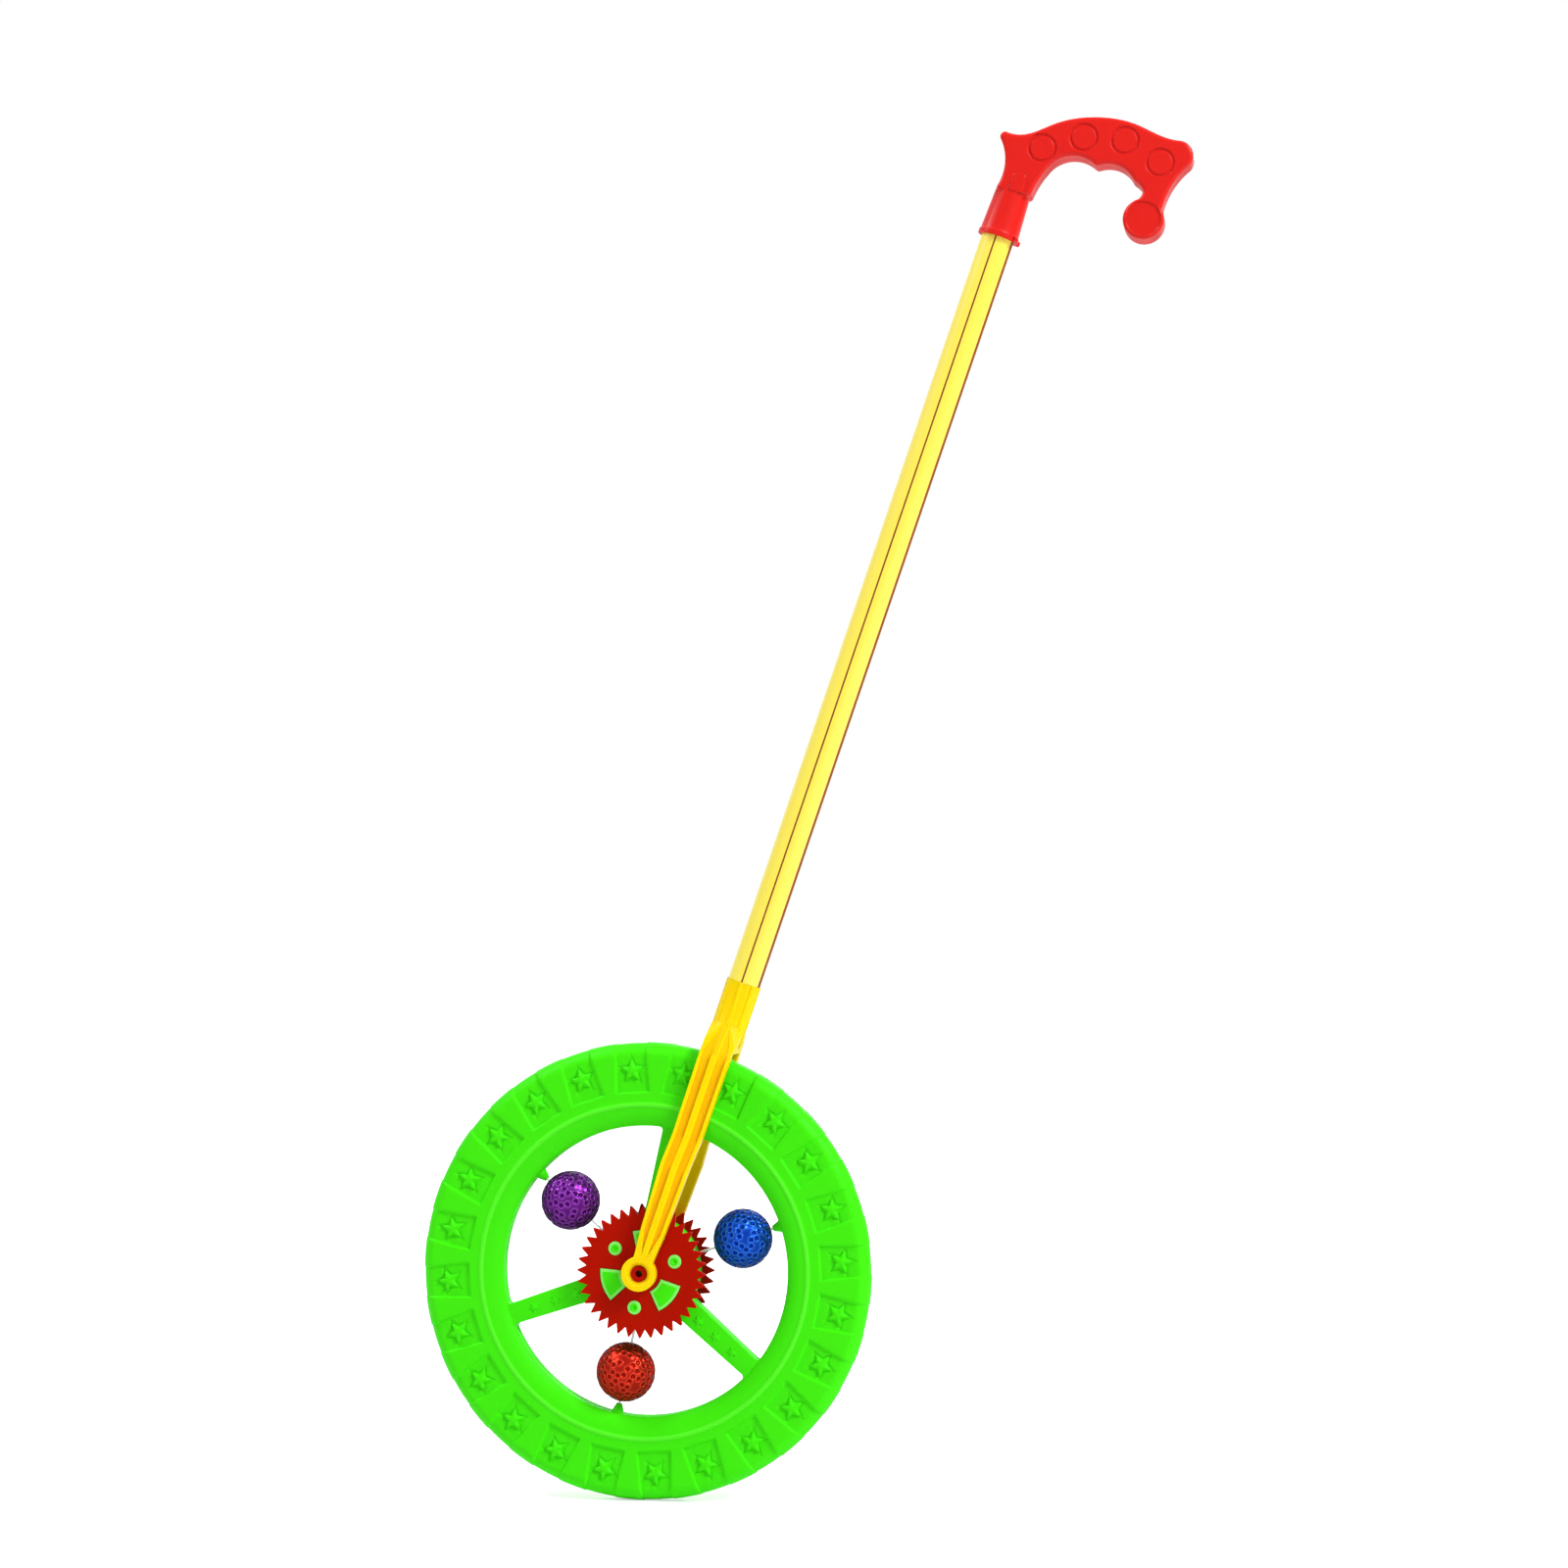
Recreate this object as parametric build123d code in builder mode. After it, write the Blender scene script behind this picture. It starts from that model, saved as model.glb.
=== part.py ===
from build123d import *
import os
from math import asin, atan2, cos, degrees, hypot, isclose, radians, sin, tan

# Hand push toy for a toddler: a spoked wheel with three rattle balls, a fork, a stick and a hook grip.
# The origin is the middle of the wheel's axle. +Y runs along the axle, away from the viewer of the front.
# The stick rises towards +Z and leans towards +X. Sizes are in millimetres and angles in degrees.

os.makedirs("parts", exist_ok=True)

# Pose of the stick, from upright
stick_lean = 19.05

# General
cut_overrun = 1.0
seat_gap = 0.05

# Wheel rim, whose radii follow from the toothed discs, the balls and these widths
wheel_thickness = 16.0
wheel_wall = 2.0
opening_land = 9.0
rim_slope_width = 9.3
rim_band_width = 7.0
panel_length = 18.5
tread_rise = 5.5
panel_count = 24
panel_inner_width = 16.6
panel_outer_width = 14.4
panel_depth = 1.2
tread_step = 0.3
panel_star_radius = 5.2
panel_star_height = 0.8
star_points_count = 5
star_waist_share = 0.44

# Wheel spokes
spoke_count = 3
first_spoke_angle = 78.5
spoke_hub_width = 12.4
spoke_rim_width = 9.6
spoke_fillet = 1.6
spoke_star_radius = 2.7
spoke_star_height = 0.5
spoke_star_shares = (0.22, 0.47, 0.72)

# Wheel hub
drum_radius = 25.6
drum_length = 20.2
drum_end_wall = 2.4
hub_boss_radius = 6.6
pad_inner_radius = 9.9
pad_outer_radius = 20.1
pad_half_angle = 23.5
pad_corner = 1.0
pad_stand = 0.4
pin_radius = 3.3
pin_circle_radius = 17.1
pin_dimple_radius = 1.2
pin_dimple_depth = 0.6

# Pegs that join the two halves of the wheel
wheel_post_count = 6
wheel_post_radius = 3.8
wheel_peg_radius = 1.8
wheel_peg_length = 3.5

# Toothed discs, their stub axles and their spigots
tooth_count = 36
tooth_height = 4.3
tooth_tip_flat = 0.5
disc_overhang = 1.6
disc_thickness = 2.4
window_gap = 0.25
stub_radius = 3.75
stub_hole_radius = 1.7
stub_recess = 1.4
thrust_shoulder_radius = 6.4
spigot_length = 6.0

# Rattle balls, their wires and the beads inside
ball_names = ("blue", "purple", "red")
ball_radius = 14.2
ball_wall = 1.3
ball_disc_gap = 4.3
ball_rim_gap = 1.3
wire_radius = 0.65
wire_running_gap = 0.06
wire_end_stand = 1.2
cone_base_radius = 4.0
cone_tip_radius = 1.4
cone_height = 4.2
bead_radius = 1.6
bead_gap = 0.08
bead_spacing = 0.3

# Fork
fork_side_gap = 0.3
rim_side_gap = 1.0
tread_gap = 3.0
ball_side_gap = 1.0
eye_radius = 8.35
eye_bore_gap = 0.08
countersink_radius = 5.7
countersink_depth = 2.2
arm_plate = 4.0
arm_rib_height = 1.4
arm_edge_rib = 1.7
arm_middle_rib = 3.2
neck_width = 9.6
neck_height = 8.6
shank_height = 21.0
shank_width = 11.8
elbow_width = 14.1
splay_length = 15.0
knee_ridge_gap = 10.0
crotch_width = 15.3
crown_length = 13.0
crown_taper = 32.5
ferrule_length = 21.0
ferrule_radius = 8.1
ferrule_ridge_height = 0.4
ferrule_ridge_width = 1.7
ferrule_ridge_count = 8
ferrule_bore_radius = 4.6
plug_length = 24.0

# Stick tube
tube_radius = 8.0
tube_wall = 0.8
tube_seam_width = 0.6
tube_shown_length = 379.0

# Grip, in two halves
grip_thickness = 16.0
grip_wall = 2.2
grip_hollow_width = 12.0
throat_hollow_width = 8.0
grip_span = 94.0
grip_rise = 56.0
grip_corner_round = 2.2
grip_edge_round = 2.0
socket_depth = 18.0
collar_length = 27.0
collar_mouth_radius = 9.5
collar_top_radius = 8.5
collar_lip_height = 2.4
collar_lip_stand = 0.5
collar_lug_angle = 32.0
collar_lug_width = 2.4
collar_lug_stand = 1.6
knob_radius = 9.9
knob_rim_width = 1.6
knob_dish_depth = 0.7
button_radius = 5.6
button_groove_width = 1.4
button_groove_depth = 0.7
boss_radius = 3.2
boss_stand = 0.6
grip_post_radius = 3.4
grip_peg_radius = 1.6
grip_peg_length = 4.0

# Places on the grip, as shares of its span and rise, from the middle of the socket's mouth
grip_left_side_shares = ((-0.012, 0.40), (0.045, 0.65), (0.023, 0.845))
grip_left_tip_shares = ((0.023, 0.845), (0.028, 0.892), (0.060, 0.897))
grip_top_shares = (
    (0.060, 0.897), (0.142, 0.873), (0.300, 0.955), (0.521, 0.998),
    (0.716, 0.923), (0.853, 0.807), (0.939, 0.768),
)
grip_shoulder_shares = ((0.939, 0.768), (0.998, 0.680), (0.985, 0.557))
grip_outer_neck_shares = ((0.985, 0.557), (0.892, 0.384), (0.835, 0.118))
knob_shares = (0.748, 0.107)
grip_inner_neck_shares = ((0.700, 0.215), (0.728, 0.285), (0.746, 0.350), (0.730, 0.398), (0.700, 0.440))
finger_one_shares = ((0.700, 0.440), (0.630, 0.563), (0.512, 0.572))
finger_two_shares = ((0.512, 0.572), (0.421, 0.663), (0.258, 0.564))
grip_throat_shares = ((0.258, 0.564), (0.212, 0.462), (0.172, 0.330))
button_shares = ((0.237, 0.743), (0.449, 0.822), (0.658, 0.782), (0.835, 0.582))
boss_shares = (0.118, 0.482)

# Sizes that follow from those above
disc_root_radius = drum_radius + disc_overhang
disc_tip_radius = disc_root_radius + tooth_height
ball_centre_radius = disc_tip_radius + ball_disc_gap + ball_radius
opening_radius = ball_centre_radius + ball_radius + ball_rim_gap + cone_height
ridge_radius = opening_radius + rim_slope_width
panel_inner_radius = ridge_radius + rim_band_width
shoulder_radius = panel_inner_radius + panel_length
wheel_radius = shoulder_radius + tread_rise
half_thickness = wheel_thickness / 2
half_land = opening_land / 2
drum_half = drum_length / 2
disc_face = drum_half + disc_thickness
panel_floor = half_thickness - panel_depth
panel_middle_radius = (panel_inner_radius + shoulder_radius) / 2 + panel_depth
wheel_post_circle = (ridge_radius + shoulder_radius) / 2
spoke_angles = [first_spoke_angle + 360 / spoke_count * n for n in range(spoke_count)]
ball_angles = [angle - 180 / spoke_count for angle in spoke_angles]
arm_inner_hub = ball_radius + ball_side_gap
arm_inner_rim = half_thickness + rim_side_gap
arm_height = arm_plate + arm_rib_height
knee_height = ridge_radius - knee_ridge_gap
elbow_height = knee_height - splay_length
crotch_height = wheel_radius + tread_gap
ferrule_start = crotch_height + crown_length
ferrule_top = ferrule_start + ferrule_length
eye_face = arm_inner_hub + arm_height
stub_end = eye_face - stub_recess
shoulder_face = arm_inner_hub - fork_side_gap
tube_inner_radius = tube_radius - tube_wall
socket_mouth = ferrule_top + tube_shown_length
tube_length = tube_shown_length + socket_depth

# Directions and planes of the stick
along = (sin(radians(stick_lean)), 0, cos(radians(stick_lean)))
across = (cos(radians(stick_lean)), 0, -sin(radians(stick_lean)))
against = tuple(-part for part in across)
stick_front = Plane(origin=(0, 0, 0), x_dir=across, z_dir=(0, -1, 0))
stick_side = Plane(origin=(0, 0, 0), x_dir=(0, -1, 0), z_dir=against)
stick_axis = Axis((0, 0, 0), along)


def stick_point(height):
    """Point on the stick's axis, at a height measured along the stick from the axle."""
    return tuple(part * height for part in along)


def stick_section(height):
    """Plane across the stick, with its local x to the right and its local y along +Y."""
    return Plane(origin=stick_point(height), x_dir=across, z_dir=along)


def radial_plane(angle, radius=0):
    """Plane of the wheel, from a radius, with its local x out along an angle of the front view."""
    out = Vector(cos(radians(angle)), 0, sin(radians(angle)))
    return Plane(origin=out * radius, x_dir=out, z_dir=(0, -1, 0))


def radial_axis(angle):
    """Axis from the axle out along an angle of the front view."""
    return Axis((0, 0, 0), (cos(radians(angle)), 0, sin(radians(angle))))


def polar(radius, angle):
    """Point of a sketch from its radius and angle."""
    return (radius * cos(radians(angle)), radius * sin(radians(angle)))


def star_outline(radius):
    """Corners of a five-pointed star that points along the sketch's x axis."""
    step = 180 / star_points_count
    reach = (radius, radius * star_waist_share)
    return [polar(reach[n % 2], n * step) for n in range(2 * star_points_count)]


def grip_points(shares):
    """Points of the grip's outline from its shares of the span and the rise."""
    return [(x * grip_span, y * grip_rise) for x, y in shares]


def write(part, name):
    """Label a piece and write it as its own file."""
    part.label = name
    export_step(part, f"parts/{name}.step")


# Wheel, as a front half that is mirrored for the rear

core_shoulder = shoulder_radius - panel_depth / 2
core_step = panel_inner_radius + panel_depth / 2
hollow_half = panel_floor - wheel_wall
hollow_shoulder = core_shoulder - wheel_wall / 2

with BuildPart() as tread_ribs:
    with BuildSketch(Plane.XY):
        with BuildLine():
            Polyline(
                (shoulder_radius, half_thickness),
                (panel_inner_radius - panel_depth, half_thickness),
                (panel_inner_radius - panel_depth, -half_thickness),
                (shoulder_radius, -half_thickness),
            )
            ThreePointArc(
                (shoulder_radius, -half_thickness),
                (wheel_radius, 0),
                (shoulder_radius, half_thickness),
            )
        make_face()
    revolve(axis=Axis.Y)
    split(bisect_by=Plane.XZ, keep=Keep.TOP)
    with BuildSketch(Plane.XZ):
        with PolarLocations(0, panel_count, start_angle=first_spoke_angle):
            Polygon(
                (0, -panel_inner_width / 2),
                (panel_inner_radius, -panel_inner_width / 2),
                (wheel_radius + cut_overrun, -panel_outer_width / 2),
                (wheel_radius + cut_overrun, panel_outer_width / 2),
                (panel_inner_radius, panel_inner_width / 2),
                (0, panel_inner_width / 2),
                align=None,
            )
    extrude(amount=half_thickness + cut_overrun, mode=Mode.SUBTRACT)

with BuildPart() as wheel_half:
    # Rim, with its side face at the depth of the panels
    with BuildSketch(Plane.XY):
        with BuildLine():
            Polyline(
                (core_shoulder, panel_floor),
                (core_step, panel_floor),
                (panel_inner_radius, half_thickness),
                (ridge_radius, half_thickness),
                (opening_radius, half_land),
                (opening_radius, -half_land),
                (ridge_radius, -half_thickness),
                (panel_inner_radius, -half_thickness),
                (core_step, -panel_floor),
                (core_shoulder, -panel_floor),
            )
            ThreePointArc(
                (core_shoulder, -panel_floor),
                (wheel_radius - tread_step, 0),
                (core_shoulder, panel_floor),
            )
        make_face()
    revolve(axis=Axis.Y)
    split(bisect_by=Plane.XZ, keep=Keep.TOP)
    add(tread_ribs.part)

    # Spokes, flared into the rim
    with BuildSketch(Plane.XZ) as web:
        Circle(ridge_radius)
        Circle(opening_radius, mode=Mode.SUBTRACT)
        with PolarLocations(0, spoke_count, start_angle=first_spoke_angle):
            Polygon(
                (0, -spoke_hub_width / 2),
                (ridge_radius - wheel_wall, -spoke_rim_width / 2),
                (ridge_radius - wheel_wall, spoke_rim_width / 2),
                (0, spoke_hub_width / 2),
                align=None,
            )
        flares = web.vertices().filter_by(lambda v: isclose(hypot(v.X, v.Y), opening_radius, rel_tol=1e-4))
        fillet(flares, radius=spoke_fillet)
    extrude(amount=half_land)

    # Drum of the hub
    with BuildSketch(Plane.XZ):
        Circle(drum_radius)
    extrude(amount=drum_half)

    # Hollow of the rim
    with BuildSketch(Plane.XY):
        with BuildLine():
            Polyline(
                (hollow_shoulder, hollow_half),
                (ridge_radius + wheel_wall / 2, hollow_half),
                (opening_radius + wheel_wall, half_land - wheel_wall),
                (opening_radius + wheel_wall, wheel_wall - half_land),
                (ridge_radius + wheel_wall / 2, -hollow_half),
                (hollow_shoulder, -hollow_half),
            )
            ThreePointArc(
                (hollow_shoulder, -hollow_half),
                (wheel_radius - panel_depth - wheel_wall, 0),
                (hollow_shoulder, hollow_half),
            )
        make_face()
    revolve(axis=Axis.Y, mode=Mode.SUBTRACT)

    # Hollow of the drum round its middle boss, and the pocket in each spoke
    with BuildSketch(Plane.XZ):
        Circle(drum_radius - wheel_wall)
        Circle(hub_boss_radius, mode=Mode.SUBTRACT)
    extrude(amount=drum_half - drum_end_wall, mode=Mode.SUBTRACT)
    with BuildSketch(Plane.XZ):
        with PolarLocations(0, spoke_count, start_angle=first_spoke_angle):
            Polygon(
                (drum_radius + wheel_wall, 3 * wheel_wall / 2 - spoke_hub_width / 2),
                (opening_radius - wheel_wall, wheel_wall - spoke_rim_width / 2),
                (opening_radius - wheel_wall, spoke_rim_width / 2 - wheel_wall),
                (drum_radius + wheel_wall, spoke_hub_width / 2 - 3 * wheel_wall / 2),
                align=None,
            )
    extrude(amount=half_land - wheel_wall, mode=Mode.SUBTRACT)

    # Posts across the hollow of the rim, which carry the joining pegs
    with BuildSketch(Plane.XZ):
        with PolarLocations(wheel_post_circle, wheel_post_count, start_angle=first_spoke_angle):
            Circle(wheel_post_radius)
    extrude(amount=panel_floor - wheel_wall / 2)

    # Stars in the panels and on the spokes
    with BuildSketch(Plane.XZ.offset(panel_floor - panel_depth / 2)):
        with PolarLocations(panel_middle_radius, panel_count, start_angle=first_spoke_angle):
            Polygon(*star_outline(panel_star_radius), align=None)
    extrude(amount=panel_depth / 2 + panel_star_height)
    with BuildSketch(Plane.XZ.offset(half_land - wheel_wall / 2)):
        for share in spoke_star_shares:
            spoke_star_circle = drum_radius + share * (opening_radius - drum_radius)
            with PolarLocations(spoke_star_circle, spoke_count, start_angle=first_spoke_angle):
                Polygon(*star_outline(spoke_star_radius), align=None)
    extrude(amount=wheel_wall / 2 + spoke_star_height)

    # Pads and dimpled pins on the drum's end, which key the toothed disc
    with BuildSketch(Plane.XZ.offset(drum_half - drum_end_wall / 2)) as keys:
        for angle in spoke_angles:
            start = angle - pad_half_angle
            end = angle + pad_half_angle
            with BuildLine():
                CenterArc((0, 0), pad_outer_radius, start, 2 * pad_half_angle)
                CenterArc((0, 0), pad_inner_radius, start, 2 * pad_half_angle)
                Line(polar(pad_inner_radius, start), polar(pad_outer_radius, start))
                Line(polar(pad_inner_radius, end), polar(pad_outer_radius, end))
            make_face()
        fillet(keys.vertices(), radius=pad_corner)
        with PolarLocations(pin_circle_radius, spoke_count, start_angle=ball_angles[0]):
            Circle(pin_radius)
    extrude(amount=drum_end_wall / 2 + disc_thickness + pad_stand)
    with BuildSketch(Plane.XZ.offset(disc_face + pad_stand)):
        with PolarLocations(pin_circle_radius, spoke_count, start_angle=ball_angles[0]):
            Circle(pin_dimple_radius)
    extrude(amount=-pin_dimple_depth, mode=Mode.SUBTRACT)

    # Cones where the wires enter the rim, and the wires' own holes
    for angle in ball_angles:
        with BuildSketch(radial_plane(angle)):
            Polygon(
                (opening_radius + wheel_wall / 2, 0),
                (opening_radius + wheel_wall / 2, cone_base_radius),
                (opening_radius - cone_height, cone_tip_radius),
                (opening_radius - cone_height, 0),
                align=None,
            )
        revolve(axis=radial_axis(angle))
        with BuildSketch(radial_plane(angle)):
            with Locations(((drum_radius + opening_radius) / 2, (wire_radius + seat_gap) / 2)):
                Rectangle(opening_radius - drum_radius + 4 * wheel_wall, wire_radius + seat_gap)
        revolve(axis=radial_axis(angle), mode=Mode.SUBTRACT)
    split(bisect_by=Plane.XZ, keep=Keep.TOP)

    # Bore for the disc's spigot
    with BuildSketch(Plane.XZ):
        Circle(stub_radius + seat_gap)
    extrude(amount=drum_half + cut_overrun, mode=Mode.SUBTRACT)

with BuildPart() as wheel_front_half:
    add(wheel_half.part)
    with BuildSketch(Plane.XZ.offset(wheel_wall)):
        with PolarLocations(wheel_post_circle, wheel_post_count, start_angle=first_spoke_angle):
            Circle(wheel_peg_radius)
    extrude(amount=-wheel_wall - wheel_peg_length)
write(wheel_front_half.part, "wheel_front_half")

with BuildPart() as wheel_rear_half:
    mirror(wheel_half.part, about=Plane.XZ)
    with BuildSketch(Plane.XZ):
        with PolarLocations(wheel_post_circle, wheel_post_count, start_angle=first_spoke_angle):
            Circle(wheel_peg_radius + seat_gap)
    extrude(amount=-wheel_peg_length - seat_gap, mode=Mode.SUBTRACT)
write(wheel_rear_half.part, "wheel_rear_half")


# Toothed discs, one on each end of the drum

def tooth_outline():
    """Zigzag of the disc's rim: a valley corner, then the two corners of a tooth's blunt tip."""
    pitch = 360 / tooth_count
    tip = degrees(asin(tooth_tip_flat / 2 / disc_tip_radius))
    points = []
    for n in range(tooth_count):
        middle = first_spoke_angle + n * pitch
        points.append(polar(disc_root_radius, middle - pitch / 2))
        points.append(polar(disc_tip_radius, middle - tip))
        points.append(polar(disc_tip_radius, middle + tip))
    return points


def toothed_disc(side):
    """Disc with windows for the hub's pads, holes for its pins, a stub axle and a spigot."""
    with BuildPart() as disc:
        with BuildSketch(Plane.XZ.offset(side * drum_half)):
            Polygon(*tooth_outline(), align=None)
            with PolarLocations(pin_circle_radius, spoke_count, start_angle=ball_angles[0]):
                Circle(pin_radius + seat_gap, mode=Mode.SUBTRACT)
        extrude(amount=side * disc_thickness)
        spread = pad_half_angle + degrees(window_gap / pad_outer_radius)
        with BuildSketch(Plane.XZ.offset(side * (drum_half - cut_overrun))) as windows:
            for angle in spoke_angles:
                inner = pad_inner_radius - window_gap
                outer = pad_outer_radius + window_gap
                with BuildLine():
                    CenterArc((0, 0), outer, angle - spread, 2 * spread)
                    CenterArc((0, 0), inner, angle - spread, 2 * spread)
                    Line(polar(inner, angle - spread), polar(outer, angle - spread))
                    Line(polar(inner, angle + spread), polar(outer, angle + spread))
                make_face()
            fillet(windows.vertices(), radius=pad_corner)
        extrude(amount=side * (disc_thickness + 2 * cut_overrun), mode=Mode.SUBTRACT)
        with BuildSketch(Plane.XZ.offset(side * (drum_half + disc_thickness / 2))):
            Circle(thrust_shoulder_radius)
        extrude(amount=side * (shoulder_face - drum_half - disc_thickness / 2))
        with BuildSketch(Plane.XZ.offset(side * (drum_half - spigot_length))):
            Circle(stub_radius)
        extrude(amount=side * (stub_end - drum_half + spigot_length))
        with BuildSketch(Plane.XZ.offset(side * (drum_half - spigot_length - cut_overrun))):
            Circle(stub_hole_radius)
        extrude(amount=side * (stub_end - drum_half + spigot_length + 2 * cut_overrun), mode=Mode.SUBTRACT)
    return disc.part


write(toothed_disc(1), "toothed_disc_front")
write(toothed_disc(-1), "toothed_disc_rear")


# Rattle balls on their wires

def ball_half(angle, outer):
    """Half of a ball's shell, bored for its wire, nearer to the rim if outer is true."""
    turn = 0 if outer else 90
    hollow_radius = ball_radius - ball_wall
    with BuildPart() as shell:
        with BuildSketch(radial_plane(angle, ball_centre_radius)):
            with BuildLine():
                CenterArc((0, 0), ball_radius, turn, 90)
                CenterArc((0, 0), hollow_radius, turn, 90)
                Line(polar(hollow_radius, turn), polar(ball_radius, turn))
                Line(polar(hollow_radius, turn + 90), polar(ball_radius, turn + 90))
            make_face()
        revolve(axis=radial_axis(angle))
        with BuildSketch(radial_plane(angle, ball_centre_radius)):
            with Locations((0, (wire_radius + wire_running_gap) / 2)):
                Rectangle(2 * ball_radius + 2 * cut_overrun, wire_radius + wire_running_gap)
        revolve(axis=radial_axis(angle), mode=Mode.SUBTRACT)
    return shell.part


def bead_places(angle):
    """Middles of a ball's three beads, which lie together at the lowest place inside."""
    middle = radial_axis(angle).direction * ball_centre_radius
    reach = ball_radius - ball_wall - bead_radius - bead_gap
    tilt = 2 * asin((bead_radius + bead_spacing / 2) / reach)
    return [middle + Vector(0, reach * sin(n * tilt), -reach * cos(n * tilt)) for n in (-1, 0, 1)]


for name, angle in zip(ball_names, ball_angles):
    write(ball_half(angle, True), f"{name}_ball_outer_half")
    write(ball_half(angle, False), f"{name}_ball_inner_half")

    with BuildPart() as beads:
        with Locations(*bead_places(angle)):
            Sphere(bead_radius)
    write(beads.part, f"{name}_ball_beads")

    with BuildPart() as wire:
        wire_start = drum_radius - wheel_wall - wire_end_stand
        wire_end = opening_radius + wheel_wall + wire_end_stand
        with BuildSketch(radial_plane(angle)):
            with Locations(((wire_start + wire_end) / 2, wire_radius / 2)):
                Rectangle(wire_end - wire_start, wire_radius)
        revolve(axis=radial_axis(angle))
    write(wire.part, f"{name}_ball_wire")


# Fork

def arm_side(height, side):
    """Side view of one arm, with its outer face at a height above its inner face."""
    return [
        (side * arm_inner_hub, -eye_radius),
        (side * arm_inner_hub, elbow_height),
        (side * arm_inner_rim, knee_height),
        (side * arm_inner_rim, crotch_height),
        (0, crotch_height),
        (0, ferrule_start),
        (side * ferrule_radius, ferrule_start),
        (side * (arm_inner_rim + height), crotch_height - tread_gap),
        (side * (arm_inner_rim + height), knee_height),
        (side * (arm_inner_hub + height), elbow_height),
        (side * (arm_inner_hub + height), -eye_radius),
    ]


def arm_front():
    """Corners of an arm in the front view, from its neck at the eye to the ferrule."""
    right = [
        (neck_width / 2, 0),
        (neck_width / 2, neck_height),
        (shank_width / 2, shank_height),
        (elbow_width / 2, elbow_height),
        (crotch_width / 2, crotch_height),
        (ferrule_radius, ferrule_start),
    ]
    return right + [(-x, y) for x, y in reversed(right)]


def crown_side():
    """Half of the cone about the stick that narrows the crown's corners into the ferrule."""
    base = -eye_radius - cut_overrun
    return [
        (0, base),
        (ferrule_radius + (ferrule_start - base) * tan(radians(crown_taper)), base),
        (ferrule_radius, ferrule_start),
        (0, ferrule_start),
    ]


def arm_groove(side):
    """Corners of the groove between the middle rib and one edge rib."""
    middle = arm_middle_rib / 2
    return [
        (side * middle, shank_height),
        (side * middle, ferrule_start),
        (side * (crotch_width / 2 - arm_edge_rib), crotch_height),
        (side * (elbow_width / 2 - arm_edge_rib), elbow_height),
        (side * (shank_width / 2 - arm_edge_rib), shank_height),
        (side * middle, neck_height + arm_edge_rib),
    ]


with BuildPart() as arm_cores:
    with BuildSketch(stick_side):
        for side in (1, -1):
            Polygon(*arm_side(arm_plate, side), align=None)
    extrude(amount=eye_radius + cut_overrun, both=True)
    with BuildSketch(stick_front):
        Polygon(*arm_front(), align=None)
        Circle(eye_radius)
    extrude(amount=eye_face + cut_overrun, both=True, mode=Mode.INTERSECT)

with BuildPart() as fork:
    # Arms at their full height, grooved down to their cores
    with BuildSketch(stick_side):
        for side in (1, -1):
            Polygon(*arm_side(arm_height, side), align=None)
    extrude(amount=eye_radius + cut_overrun, both=True)
    with BuildSketch(stick_front):
        Polygon(*arm_front(), align=None)
        Circle(eye_radius)
        for side in (1, -1):
            Polygon(*arm_groove(side), align=None, mode=Mode.SUBTRACT)
    extrude(amount=eye_face + cut_overrun, both=True, mode=Mode.INTERSECT)
    add(arm_cores.part)

    # Crown, narrowed to the round of the ferrule
    with BuildSketch(stick_front):
        Polygon(*crown_side(), align=None)
    revolve(axis=stick_axis, mode=Mode.INTERSECT)

    # Ferrule with its ridges, and the plug that enters the tube
    with BuildSketch(stick_section(crotch_height + tread_gap)):
        Circle(ferrule_radius)
        with PolarLocations(ferrule_radius, ferrule_ridge_count):
            Rectangle(2 * ferrule_ridge_height, ferrule_ridge_width)
    extrude(amount=ferrule_top - crotch_height - tread_gap)
    with BuildSketch(stick_section(ferrule_top)):
        Circle(tube_inner_radius - seat_gap)
    extrude(amount=plug_length)
    with BuildSketch(stick_section(ferrule_start)):
        Circle(ferrule_bore_radius)
    extrude(amount=ferrule_top + plug_length - ferrule_start + cut_overrun, mode=Mode.SUBTRACT)

    # Bore and countersink of the two eyes
    bore_radius = stub_radius + eye_bore_gap
    with BuildSketch(stick_front):
        Circle(bore_radius)
    extrude(amount=eye_face + cut_overrun, both=True, mode=Mode.SUBTRACT)
    with BuildSketch(Plane.XY):
        for side in (1, -1):
            Polygon(
                (0, side * eye_face),
                (countersink_radius, side * eye_face),
                (bore_radius, side * (eye_face - countersink_depth)),
                (0, side * (eye_face - countersink_depth)),
                align=None,
            )
    revolve(axis=Axis.Y, mode=Mode.SUBTRACT)
write(fork.part, "fork")


# Stick tube, rolled from sheet with its butt seam at the front

with BuildPart() as stick_tube:
    with BuildSketch(stick_section(ferrule_top)):
        Circle(tube_radius)
        Circle(tube_inner_radius, mode=Mode.SUBTRACT)
        Rectangle(
            tube_seam_width,
            tube_radius + cut_overrun,
            align=(Align.CENTER, Align.MAX),
            mode=Mode.SUBTRACT,
        )
    extrude(amount=tube_length)
write(stick_tube.part, "stick_tube")


# Grip, made as a front half and mirrored for the rear

grip_front = Plane(origin=stick_point(socket_mouth), x_dir=(1, 0, 0), z_dir=(0, -1, 0))
half_grip = grip_thickness / 2
post_places = grip_points(button_shares + (knob_shares,))
button_places = grip_points(button_shares)
hollow_runs = [(*places, grip_hollow_width) for places in zip(button_places, button_places[1:])]
hollow_runs.append((grip_points([boss_shares])[0], button_places[0], throat_hollow_width))


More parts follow.
